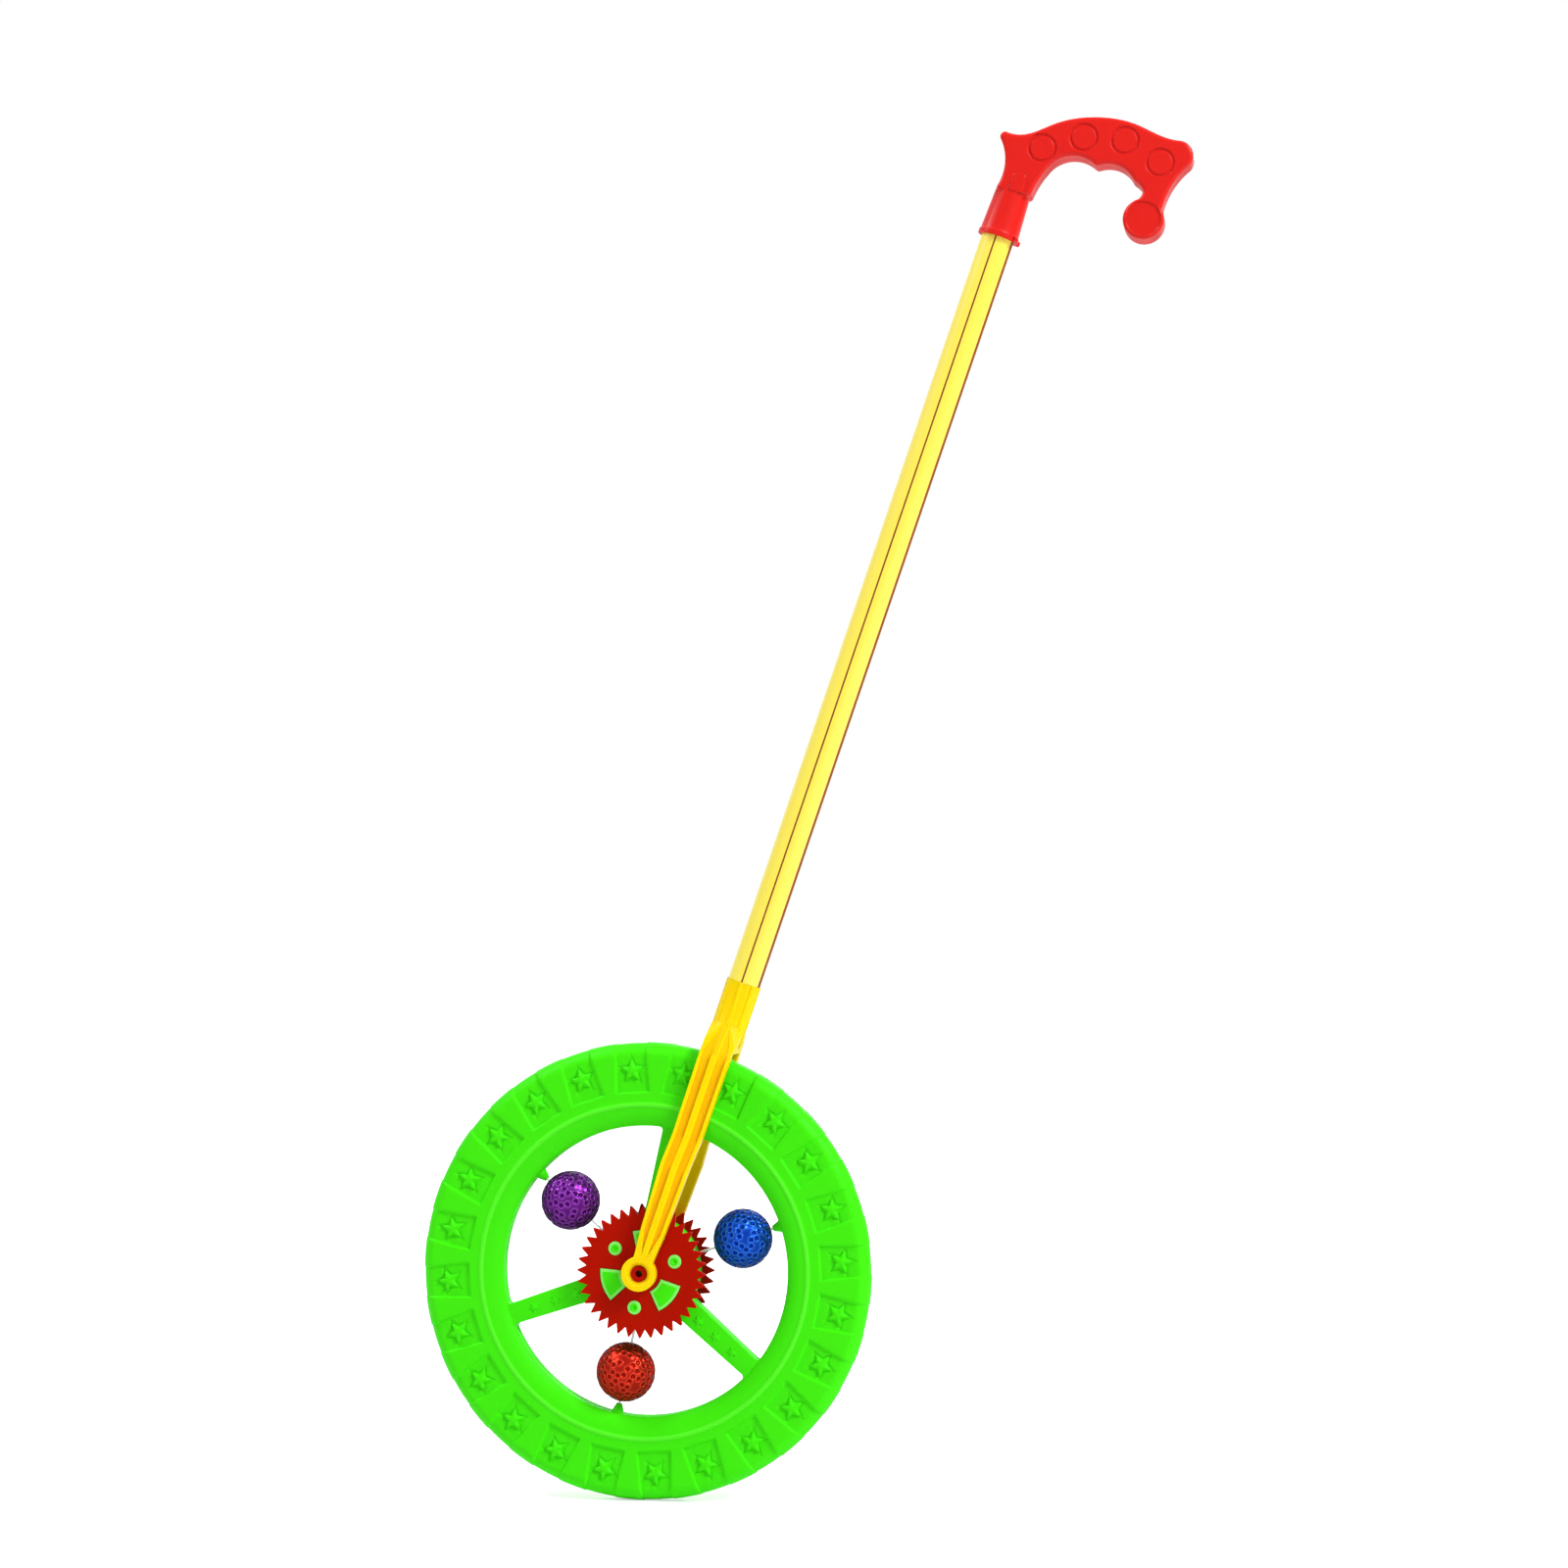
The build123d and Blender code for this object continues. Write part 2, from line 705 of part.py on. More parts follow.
with BuildSketch() as grip_outline:
    with BuildLine():
        ThreePointArc(*grip_points(grip_left_side_shares))
        ThreePointArc(*grip_points(grip_left_tip_shares))
        Spline(*grip_points(grip_top_shares))
        ThreePointArc(*grip_points(grip_shoulder_shares))
        ThreePointArc(*grip_points(grip_outer_neck_shares))
        Line(grip_points(grip_outer_neck_shares)[-1], grip_points(grip_inner_neck_shares)[0])
        Spline(*grip_points(grip_inner_neck_shares))
        ThreePointArc(*grip_points(finger_one_shares))
        ThreePointArc(*grip_points(finger_two_shares))
        ThreePointArc(*grip_points(grip_throat_shares))
        Line(grip_points(grip_throat_shares)[-1], grip_points(grip_left_side_shares)[0])
    make_face()
    with Locations(*grip_points([knob_shares])):
        Circle(knob_radius)
    fillet(grip_outline.vertices(), radius=grip_corner_round)

with BuildPart() as grip_half:
    with BuildSketch(grip_front):
        add(grip_outline.sketch)
    extrude(amount=half_grip)
    fillet(grip_half.edges().group_by(Axis.Y)[0], radius=grip_edge_round)

    # Hollow, with posts in it that carry the joining pegs
    with BuildSketch(grip_front):
        for start, end, width in hollow_runs:
            run = Vector(*end) - Vector(*start)
            with Locations(Vector(*start) + run / 2):
                SlotCenterToCenter(run.length, width, rotation=degrees(atan2(run.Y, run.X)))
        with Locations(*grip_points([knob_shares])):
            Circle(knob_radius - grip_wall)
    extrude(amount=half_grip - grip_wall, mode=Mode.SUBTRACT)
    with BuildSketch(grip_front):
        with Locations(*post_places):
            Circle(grip_post_radius)
    extrude(amount=half_grip - grip_wall / 2)

    # Buttons, knob face and the small boss above the collar
    with BuildSketch(grip_front.offset(half_grip)):
        with Locations(*grip_points(button_shares)):
            Circle(button_radius + button_groove_width)
            Circle(button_radius, mode=Mode.SUBTRACT)
    extrude(amount=-button_groove_depth, mode=Mode.SUBTRACT)
    with BuildSketch(grip_front.offset(half_grip)):
        with Locations(*grip_points([knob_shares])):
            Circle(knob_radius - knob_rim_width)
    extrude(amount=-knob_dish_depth, mode=Mode.SUBTRACT)
    with BuildSketch(grip_front.offset(half_grip - grip_wall / 2)):
        with Locations(*grip_points([boss_shares])):
            Circle(boss_radius)
            Rectangle(2 * boss_radius, 2 * boss_radius, rotation=-stick_lean, align=(Align.CENTER, Align.MAX))
    extrude(amount=grip_wall / 2 + boss_stand)

    # Collar round the stick's end, with a lug on its lip and a socket for the tube
    with BuildSketch(stick_front):
        Polygon(
            (0, socket_mouth),
            (collar_mouth_radius + collar_lip_stand, socket_mouth),
            (collar_mouth_radius + collar_lip_stand, socket_mouth + collar_lip_height),
            (collar_mouth_radius, socket_mouth + collar_lip_height + collar_lip_stand),
            (collar_top_radius, socket_mouth + collar_length - collar_lip_height),
            (collar_top_radius - collar_lip_height, socket_mouth + collar_length),
            (0, socket_mouth + collar_length),
            align=None,
        )
    revolve(axis=stick_axis)
    with BuildSketch(stick_section(socket_mouth)):
        with PolarLocations(collar_mouth_radius + collar_lip_stand, 1, start_angle=-collar_lug_angle):
            Rectangle(2 * collar_lug_stand, collar_lug_width)
    extrude(amount=collar_lip_height)
    with BuildSketch(stick_section(socket_mouth)):
        Circle(tube_radius + seat_gap)
    extrude(amount=socket_depth + seat_gap, mode=Mode.SUBTRACT)
    split(bisect_by=Plane.XZ, keep=Keep.TOP)

with BuildPart() as grip_front_half:
    add(grip_half.part)
    with BuildSketch(grip_front.offset(grip_wall)):
        with Locations(*post_places):
            Circle(grip_peg_radius)
    extrude(amount=-grip_wall - grip_peg_length)
write(grip_front_half.part, "grip_front_half")

with BuildPart() as grip_rear_half:
    mirror(grip_half.part, about=Plane.XZ)
    with BuildSketch(grip_front):
        with Locations(*post_places):
            Circle(grip_peg_radius + seat_gap)
    extrude(amount=-grip_peg_length - seat_gap, mode=Mode.SUBTRACT)
write(grip_rear_half.part, "grip_rear_half")
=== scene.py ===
import logging
from dataclasses import dataclass
from enum import Enum
from math import asin, atan, atan2, cos, exp, hypot, pi, radians, sin, sqrt, tau

import bmesh
import bpy
import numpy as np
from bpy.types import ID, Material, Mesh, Node, NodeSocket, NodeTree, Object
from mathutils import Matrix, Vector


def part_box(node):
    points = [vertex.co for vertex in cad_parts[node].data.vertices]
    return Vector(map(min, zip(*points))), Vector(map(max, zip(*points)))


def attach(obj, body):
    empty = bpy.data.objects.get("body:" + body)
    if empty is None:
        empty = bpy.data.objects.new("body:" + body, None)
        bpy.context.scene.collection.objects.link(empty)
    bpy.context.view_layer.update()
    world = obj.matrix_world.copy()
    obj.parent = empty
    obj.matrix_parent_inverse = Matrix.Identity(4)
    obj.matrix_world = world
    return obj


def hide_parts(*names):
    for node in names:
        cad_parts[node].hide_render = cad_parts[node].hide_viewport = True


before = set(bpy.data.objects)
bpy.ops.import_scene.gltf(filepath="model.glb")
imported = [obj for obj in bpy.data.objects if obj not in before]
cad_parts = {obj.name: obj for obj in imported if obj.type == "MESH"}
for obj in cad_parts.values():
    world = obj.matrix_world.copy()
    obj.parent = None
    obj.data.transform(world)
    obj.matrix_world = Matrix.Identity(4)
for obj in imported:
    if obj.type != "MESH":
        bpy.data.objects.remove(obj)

MM = 0.001
# Points nearer than this are one point
NEAR = MM / 1000
# How far a hidden foot runs into the piece that carries it
FOOT = 1 * MM
# The stick's lean to the right
LEAN = radians(19.05)
log = logging.getLogger("push_toy")


class Side(Enum):
    """The two sides of the wheel, as the sign of their direction along the axle."""

    FRONT = -1
    REAR = 1


# Small tools


def linear(hex_code: str) -> tuple[float, float, float, float]:
    """Turn an sRGB colour into a linear one.

    Args:
        hex_code: six hexadecimal digits, such as "3CEB1E".

    Returns:
        Red, green, blue and an alpha of 1.
    """
    shares = [int(hex_code[n : n + 2], 16) / 255 for n in (0, 2, 4)]
    red, green, blue = (s / 12.92 if s <= 0.04045 else ((s + 0.055) / 1.055) ** 2.4 for s in shares)
    return red, green, blue, 1.0


def add_node(tree: NodeTree, kind: str, inputs: dict | tuple = (), **settings: object) -> Node:
    """Add a node to a tree, with its settings and its links.

    Args:
        tree: the tree that takes the node.
        kind: the node's type.
        inputs: values, outputs, or nodes for their first output, in order, or by the input's name or index.
        settings: the node's own properties.

    Returns:
        The new node.
    """
    node = tree.nodes.new(kind)
    for name, value in settings.items():
        setattr(node, name, value)
    for key, value in inputs.items() if isinstance(inputs, dict) else enumerate(inputs):
        if isinstance(value, Node):
            value = value.outputs[0]
        if isinstance(value, NodeSocket):
            tree.links.new(value, node.inputs[key])
        else:
            node.inputs[key].default_value = value
    return node


def new_material(name: str, values: dict[str, object]) -> tuple[Material, Node]:
    """Start a material.

    Args:
        name: the material's name.
        values: the uniform values, by the name of the shader's socket.

    Returns:
        The material and its shader.
    """
    made = bpy.data.materials.new(name)
    made.use_nodes = True
    shader = made.node_tree.nodes["Principled BSDF"]
    for socket, value in values.items():
        shader.inputs[socket].default_value = value
    return made, shader


def arc(radius: float, angles: np.ndarray, middle: tuple[float, float] = (0.0, 0.0)) -> list:
    """Points at each of the angles on a circle."""
    return [(middle[0] + radius * cos(a), middle[1] + radius * sin(a)) for a in angles]


def smooth_step(value: np.ndarray, start: float, end: float) -> np.ndarray:
    """Rise smoothly from 0 at the start to 1 at the end."""
    share = np.clip((value - start) / (end - start), 0, 1)
    return share * share * (3 - 2 * share)


def new_object(name: str, data: ID) -> Object:
    """Wrap a mesh, a lamp or a camera in an object.

    Args:
        name: the object's name.
        data: what it holds.

    Returns:
        The object, linked to the scene.
    """
    obj = bpy.data.objects.new(name, data)
    bpy.context.scene.collection.objects.link(obj)
    return obj


def mesh_of(name: str, points: np.ndarray, faces: list) -> Mesh:
    """Make a mesh that is shaded smooth.

    Args:
        name: the mesh's name.
        points: one row of x, y and z for each point.
        faces: the corners of each face, by point number.

    Returns:
        The mesh.
    """
    mesh = bpy.data.meshes.new(name)
    mesh.from_pydata([tuple(map(float, p)) for p in points], [], faces)
    mesh.validate()
    mesh.shade_smooth()
    return mesh


def shaded(work: bmesh.types.BMesh, name: str, sharpest: float = 40.0) -> Mesh:
    """Turn what was worked on into a mesh.

    Args:
        work: what was worked on, which is freed.
        name: the mesh's name.
        sharpest: edges under this angle, in degrees, are shaded smooth.

    Returns:
        The mesh.
    """
    mesh = bpy.data.meshes.new(name)
    work.to_mesh(mesh)
    work.free()
    mesh.shade_smooth()
    mesh.set_sharp_from_angle(angle=radians(sharpest))
    return mesh


def grid_faces(rows: int, columns: int, wrapped: bool, flipped: bool) -> list:
    """List the faces of a grid of points whose last row meets its first.

    Args:
        rows: how many rows of points.
        columns: points in each row.
        wrapped: whether the last column meets the first too.
        flipped: whether the corners run the other way round.

    Returns:
        Four point numbers for each face.
    """
    faces = []
    for row in range(rows):
        for column in range(columns if wrapped else columns - 1):
            here, after, beside = row * columns, (row + 1) % rows * columns, (column + 1) % columns
            corners = (here + column, here + beside, after + beside, after + column)
            faces.append(corners[::-1] if flipped else corners)
    return faces


def joined(name: str, meshes: list[Mesh]) -> Mesh:
    """Put several meshes into one and drop them.

    Args:
        name: the joined mesh's name.
        meshes: what goes in, with materials alike.

    Returns:
        The joined mesh.
    """
    work = bmesh.new()
    for mesh in meshes:
        work.from_mesh(mesh)
    whole = bpy.data.meshes.new(name)
    work.to_mesh(whole)
    work.free()
    for material in meshes[0].materials:
        whole.materials.append(material)
    for mesh in meshes:
        bpy.data.meshes.remove(mesh)
    return whole


def prism(
    name: str, side: Side, outline: list, start: float, end: float, soft: float, crown: float = 0.0
) -> Mesh:
    """Make an upright-sided moulded block with a soft edge round its end.

    Args:
        name: the mesh's name.
        side: front or rear.
        outline: corners in the wheel's plane, as x and z, counter-clockwise from the front.
        start: from the middle plane to its hidden base.
        end: from the middle plane to the face that shows.
        soft: how far its edges are rounded.
        crown: how far the middle of the face stands over its edge.

    Returns:
        The closed mesh.
    """
    work = bmesh.new()
    base, top = ([work.verts.new((x, side.value * y, z)) for x, z in outline] for y in (start, end))
    work.faces.new(base)
    pairs = [(n, (n + 1) % len(outline)) for n in range(len(outline))]
    for n, after in pairs:
        work.faces.new((base[n], base[after], top[after], top[n]))
    if crown:
        xs, zs = zip(*outline)
        peak = side.value * (end + crown)
        middle = work.verts.new((sum(xs) / len(xs), peak, sum(zs) / len(zs)))
        for n, after in pairs:
            work.faces.new((top[n], top[after], middle))
    else:
        work.faces.new(top)
    bmesh.ops.recalc_face_normals(work, faces=work.faces)
    rim = [edge for edge in work.edges if edge.verts[0] in top and edge.verts[1] in top]
    bmesh.ops.bevel(work, geom=rim, offset=soft, segments=3, profile=0.5, affect="EDGES", clamp_overlap=True)
    return shaded(work, name)


def turned(name: str, profile: list, steps: int, place: Matrix) -> Mesh:
    """Turn a profile about its own axis, as on a lathe.

    Args:
        name: the mesh's name.
        profile: pairs of radius and height, from one pole to the other.
        steps: flats round the axis.
        place: puts the local z axis where the turned piece stands.

    Returns:
        The closed mesh.
    """
    work = bmesh.new()
    chain = [work.verts.new((radius, 0, height)) for radius, height in profile]
    line = chain + [work.edges.new(pair) for pair in zip(chain, chain[1:])]
    full = {"cent": (0, 0, 0), "axis": (0, 0, 1), "angle": tau, "use_merge": True}
    bmesh.ops.spin(work, geom=line, steps=steps, **full)
    bmesh.ops.remove_doubles(work, verts=work.verts, dist=NEAR)
    bmesh.ops.recalc_face_normals(work, faces=work.faces)
    bmesh.ops.transform(work, matrix=place, verts=work.verts)
    return shaded(work, name)


def softened_copy(
    node: str, soft: float, sharpest: float = 25.0, crowded: tuple[Vector, float] | None = None
) -> Object:
    """Copy a CAD node, merge its loose triangles and round its edges.

    Args:
        node: the CAD node's name.
        soft: the width of the rounding.
        sharpest: edges under this angle, in degrees, stay as they are.
        crowded: middle and radius of a place with edges too close together to round, if any.

    Returns:
        The copy, with a live bevel.
    """
    work = bmesh.new()
    work.from_mesh(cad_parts[node].data)
    bmesh.ops.remove_doubles(work, verts=work.verts, dist=NEAR)
    flat = {"angle_limit": radians(0.5), "use_dissolve_boundaries": False}
    bmesh.ops.dissolve_limit(work, verts=work.verts, edges=work.edges, **flat)
    weight = work.edges.layers.float.new("bevel_weight_edge")
    for edge in work.edges:
        if len(edge.link_faces) != 2 or edge.calc_face_angle() < radians(sharpest):
            continue
        if crowded is None or min((vert.co - crowded[0]).length for vert in edge.verts) > crowded[1]:
            edge[weight] = 1.0
    copy = new_object(f"{node}_soft", shaded(work, f"{node}_soft", sharpest))
    bevel = copy.modifiers.new("soft edges", "BEVEL")
    bevel.width = soft
    bevel.segments = 2
    bevel.limit_method = "WEIGHT"
    bevel.use_clamp_overlap = False
    bevel.harden_normals = True
    return copy


def dress(obj: Object, material: Material, body: str, slot: str, *nodes: str) -> None:
    """Give a piece its material and its body, and hide the CAD nodes that it stands for.

    Args:
        obj: the piece.
        material: its only material, unless its mesh already has some.
        body: the CAD body that it moves with.
        slot: not used.
        nodes: the CAD nodes that it replaces, if any.
    """
    if not obj.data.materials:
        obj.data.materials.append(material)
    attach(obj, body)
    if nodes:
        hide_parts(*nodes)
    log.info("%s rides on %s with %d points", obj.name, body, len(obj.data.vertices))


# Finishes


@dataclass(frozen=True)
class Feel:
    """How a finish takes light: its satin, its gloss, the light that wanders inside it, metal and coat."""

    roughness: float
    gloss: float = 0.3
    glow: float = 0.0
    glow_reach: tuple[float, float, float] = (1.0, 0.2, 0.1)
    glow_mm: float = 3.0
    metallic: float = 0.0
    coat: float = 0.0
    coat_roughness: float = 0.03

    def values(self) -> dict[str, object]:
        """Give the values by the name of the shader's socket."""
        return {
            "Roughness": self.roughness,
            "Specular IOR Level": self.gloss,
            "Subsurface Weight": self.glow,
            "Subsurface Radius": self.glow_reach,
            "Subsurface Scale": self.glow_mm * MM,
            "Metallic": self.metallic,
            "Coat Weight": self.coat,
            "Coat Roughness": self.coat_roughness,
        }


@dataclass(frozen=True)
class OneColour:
    """A finish of one colour, such as plastic coloured in the mass, with the faint peel of its mould."""

    name: str
    colour: str
    feel: Feel
    peel_depth_mm: float = 0.02
    peel_mm: float = 3.0

    def material(self) -> Material:
        """Make the material.

        Returns:
            A material whose peel, if any, follows Object coordinates.
        """
        made, shader = new_material(self.name, {"Base Color": linear(self.colour), **self.feel.values()})
        if not self.peel_depth_mm:
            return made
        tree = made.node_tree
        where = add_node(tree, "ShaderNodeTexCoord").outputs["Object"]
        peel_and_pit_shade = {"Vector": where, "Scale": 1 / (self.peel_mm * MM), "Detail": 1.0}
        peel = add_node(tree, "ShaderNodeTexNoise", peel_and_pit_shade)
        depth = {"Height": peel, "Distance": self.peel_depth_mm * MM, "Strength": 1.0}
        bump = add_node(tree, "ShaderNodeBump", depth)
        tree.links.new(bump.outputs["Normal"], shader.inputs["Normal"])
        return made


# Lime green polypropylene: a bright, slightly waxy green that glows in the light
LIME = OneColour("lime_polypropylene", "40E608", Feel(0.45, 0.08))
# Lime green again, a shade brighter along the fine bead of the rim: a painted highlight
LIME_BEAD_HIGHLIGHT = OneColour("bright_lime_bead", "54F024", Feel(0.42, 0.1))
# Lime green again, paler along the edges of the pads and pins: a painted highlight
LIME_EDGE_HIGHLIGHT = OneColour("pale_lime_edges", "84EE68", Feel(0.42, 0.1))
# Opaque red ABS of the toothed discs: deeper and flatter than the grip
DISC_RED = OneColour("deep_red_abs", "B21200", Feel(0.45, 0.03, glow=0.4))
# Red polypropylene of the grip: warmer, with soft broad highlights
GRIP_RED = OneColour("warm_red_polypropylene", "DC1810", Feel(0.36, 0.22))
# Bead plastic, hidden inside the balls
BEAD = OneColour("natural_beads", "D8D4C8", Feel(0.5))
# Raw brown edges of the tube's sheet, darkened in the seam with painted shade; the same brown down the tube's
# right side is a painted dark reflection
SHEET_EDGE_SHADE_AND_REFLECTION = OneColour("dark_sheet_edge", "8C3A12", Feel(0.6))
# Glossy pale yellow film on the rolled tube: its clear coat gives the long white streak of a lamp
TUBE_FILM = OneColour("pale_yellow_film", "F8E548", Feel(0.35, 0.5, coat=0.5, coat_roughness=0.06), 0.0)
# Bright drawn steel wire: plain grey metal with a tight gloss
DRAWN_STEEL = OneColour("drawn_steel_wire", "B8B9BC", Feel(0.28, 0.5, metallic=1.0), 0.0)


@dataclass(frozen=True)
class RibbedYellow:
    """Translucent yellow polypropylene of the fork, with painted shade: yellow on the thin ribs, orange in
    the grooves and on the arms' inner faces.
    """

    name: str = "yellow_polypropylene"
    rib_colour: str = "FCD600"
    # Orange of the painted shade in the grooves and on the arms' inner faces
    groove_shade_colour: str = "F8C000"
    # Share of the rib colour that the painted shade fades to at the crown
    crown_share: float = 0.85
    feel: Feel = Feel(0.36, 0.08, 0.6, (1.0, 0.55, 0.05), 4.0)

    def material(self, arms: "RibbedFork") -> Material:
        """Make the material, whose colour follows the height of the surface over the arm's plate, as painted
        shade.

        Args:
            arms: the fork's sizes.

        Returns:
            A material on Object coordinates.
        """
        made, shader = new_material(self.name, self.feel.values())
        tree = made.node_tree
        where = add_node(tree, "ShaderNodeTexCoord").outputs["Object"]
        upward = (sin(arms.lean), 0, cos(arms.lean))
        rise = add_node(tree, "ShaderNodeVectorMath", (where, upward), operation="DOT_PRODUCT")
        along = rise.outputs["Value"]
        # Painted shade: surfaces at or under the arm's plate, the arms' inner faces among them, take the
        # orange
        splay = (arms.elbow, arms.knee, arms.inner_hub, arms.inner_rim)
        inner = add_node(tree, "ShaderNodeMapRange", (along, *splay))
        parts = add_node(tree, "ShaderNodeSeparateXYZ", (where,))
        depth = add_node(tree, "ShaderNodeMath", (parts.outputs["Y"],), operation="ABSOLUTE")
        over = add_node(tree, "ShaderNodeMath", (depth, inner), operation="SUBTRACT")
        height = add_node(tree, "ShaderNodeMapRange", (over, arms.plate, arms.plate + arms.rib, 0.0, 1.0))
        # The painted shade fades towards the rib colour at the crown
        top = (arms.crotch - arms.crown, arms.crotch, 0.0, self.crown_share)
        crown = add_node(tree, "ShaderNodeMapRange", (along, *top))
        light = add_node(tree, "ShaderNodeMath", (height, crown), operation="MAXIMUM")
        colours = {"Factor": light, 6: linear(self.groove_shade_colour), 7: linear(self.rib_colour)}
        tint = add_node(tree, "ShaderNodeMix", colours, data_type="RGBA")
        tree.links.new(tint.outputs[2], shader.inputs["Base Color"])
        return made


@dataclass(frozen=True)
class PearlPlastic:
    """Moulded ABS with a pearl pigment: half metallic, so the rims of the small pits flash, with painted
    shade in the pits and at the ball's outline and a painted highlight on the pits' crests.
    """

    name: str
    pit_shade_colour: str
    crest_highlight_colour: str
    outline_shade_colour: str
    feel: Feel = Feel(0.23, 0.2, metallic=0.6)
    # How soon the painted shade of the outline sets in towards a grazing view
    grazing: float = 0.42

    def material(self, centre: Vector, radius: float, relief: float) -> Material:
        """Make the material.

        Args:
            centre: the ball's middle.
            radius: over the rims of the pits.
            relief: depth of the pits.

        Returns:
            A material with painted shade in the pits and towards a grazing view, and a painted highlight on
            the pits' crests.
        """
        edge = linear(self.outline_shade_colour)
        made, shader = new_material(self.name, {**self.feel.values(), "Specular Tint": edge})
        tree = made.node_tree
        where = add_node(tree, "ShaderNodeTexCoord").outputs["Object"]
        away = add_node(tree, "ShaderNodeVectorMath", (where, centre), operation="DISTANCE")
        reach = (away.outputs["Value"], radius - relief / 2, radius, 0.0, 1.0)
        height = add_node(tree, "ShaderNodeMapRange", reach)
        # Painted shade in the pits and a painted highlight on their crests
        relieved = {"Factor": height, 6: linear(self.pit_shade_colour), 7: linear(self.crest_highlight_colour)}
        peel_and_pit_shade = add_node(tree, "ShaderNodeMix", relieved, data_type="RGBA")
        # Painted shade of the outline colour towards a grazing view
        facing = add_node(tree, "ShaderNodeLayerWeight", {"Blend": self.grazing})
        turned_away = {"Factor": facing.outputs["Facing"], 6: peel_and_pit_shade.outputs[2], 7: edge}
        tint = add_node(tree, "ShaderNodeMix", turned_away, data_type="RGBA")
        tree.links.new(tint.outputs[2], shader.inputs["Base Color"])
        return made


PEARLS = {
    # Deep pearl blue, with painted shade of dark petrol at its outline
    "blue": PearlPlastic("pearl_blue", "0A2C9C", "2A68D8", "04283C"),
    # Warm pearl purple, with painted shade nearly black at its outline
    "purple": PearlPlastic("pearl_purple", "4A0C66", "8E3CAE", "12160E"),
    # Pearl red, with painted shade of rusty brown at its outline
    "red": PearlPlastic("pearl_red", "96140E", "DC3826", "4A1E06"),
}


# Geometry Nodes


class BakedTree:
    """A Geometry Nodes tree with named inputs, whose result is kept as a plain mesh."""

    def __init__(self, name: str, inputs: dict[str, str]) -> None:
        """Start the tree.

        Args:
            name: the tree's name.
            inputs: the kind of each input but the material, by its name.
        """
        self.tree = bpy.data.node_groups.new(name, "GeometryNodeTree")
        face = self.tree.interface
        self.identifiers = {
            label: face.new_socket(label, in_out="INPUT", socket_type=f"NodeSocket{kind}").identifier
            for label, kind in {**inputs, "Material": "Material"}.items()
        }
        face.new_socket("Result", in_out="OUTPUT", socket_type="NodeSocketGeometry")
        self.given = add_node(self.tree, "NodeGroupInput").outputs

    def end(self, real: Node) -> None:
        """End the tree, after Realize Instances, in Set Material."""
        finish = {"Geometry": real, "Material": self.given["Material"]}
        add_node(self.tree, "NodeGroupOutput", (add_node(self.tree, "GeometryNodeSetMaterial", finish),))

    def bake(self, mesh: Mesh, values: dict[str, object]) -> Mesh:
        """Run the tree.

        Args:
            mesh: what it starts from.
            values: the value of each input, by its name.

        Returns:
            A plain mesh, whose one slot holds the material.
        """
        holder = new_object("template", mesh)
        nodes = holder.modifiers.new(self.tree.name, "NODES")
        nodes.node_group = self.tree
        for name, value in values.items():
            nodes[self.identifiers[name]] = value
        graph = bpy.context.evaluated_depsgraph_get()
        baked = bpy.data.meshes.new_from_object(holder.evaluated_get(graph))
        bpy.data.objects.remove(holder)
        # Blender may leave an empty slot before the material's
        baked.materials.clear()
        baked.materials.append(values["Material"])
        baked.polygons.foreach_set("material_index", [0] * len(baked.polygons))
        return baked


class RoundTheAxle(BakedTree):
    """Repeats a mesh evenly round the axle."""

    def __init__(self) -> None:
        """Build the tree with its named inputs."""
        kinds = {"Piece": "Geometry", "Count": "Int", "First Angle": "Float", "Seam": "Float"}
        super().__init__("round_the_axle", kinds)
        tree, given = self.tree, self.given
        points = add_node(tree, "GeometryNodePoints", {"Count": given["Count"]})
        step = add_node(tree, "ShaderNodeMath", (tau, given["Count"]), operation="DIVIDE")
        turns = (add_node(tree, "GeometryNodeInputIndex"), step, given["First Angle"])
        angle = add_node(tree, "ShaderNodeMath", turns, operation="MULTIPLY_ADD")
        turn = add_node(tree, "FunctionNodeAxisAngleToRotation", {"Axis": (0, -1, 0), "Angle": angle})
        spread = {"Points": points, "Instance": given["Piece"], "Rotation": turn}
        copies = add_node(tree, "GeometryNodeInstanceOnPoints", spread)
        real = add_node(tree, "GeometryNodeRealizeInstances", (copies,))
        seams = {"Geometry": real, "Distance": given["Seam"]}
        self.end(add_node(tree, "GeometryNodeMergeByDistance", seams))

    def ring(
        self, mesh: Mesh, material: Material, count: int = 1, first_angle: float = 0.0, seam: float = 0.0
    ) -> Mesh:
        """Repeat a mesh round the axle.

        Args:
            mesh: one piece, drawn on the +X side.
            material: the ring's material.
            count: how many there are.
            first_angle: angle of the first in radians, in the front view.
            seam: points nearer than this are merged.

        Returns:
            The ring as a plain mesh.
        """
        values = {"Count": count, "First Angle": first_angle, "Seam": seam, "Material": material}
        return self.bake(mesh, values)


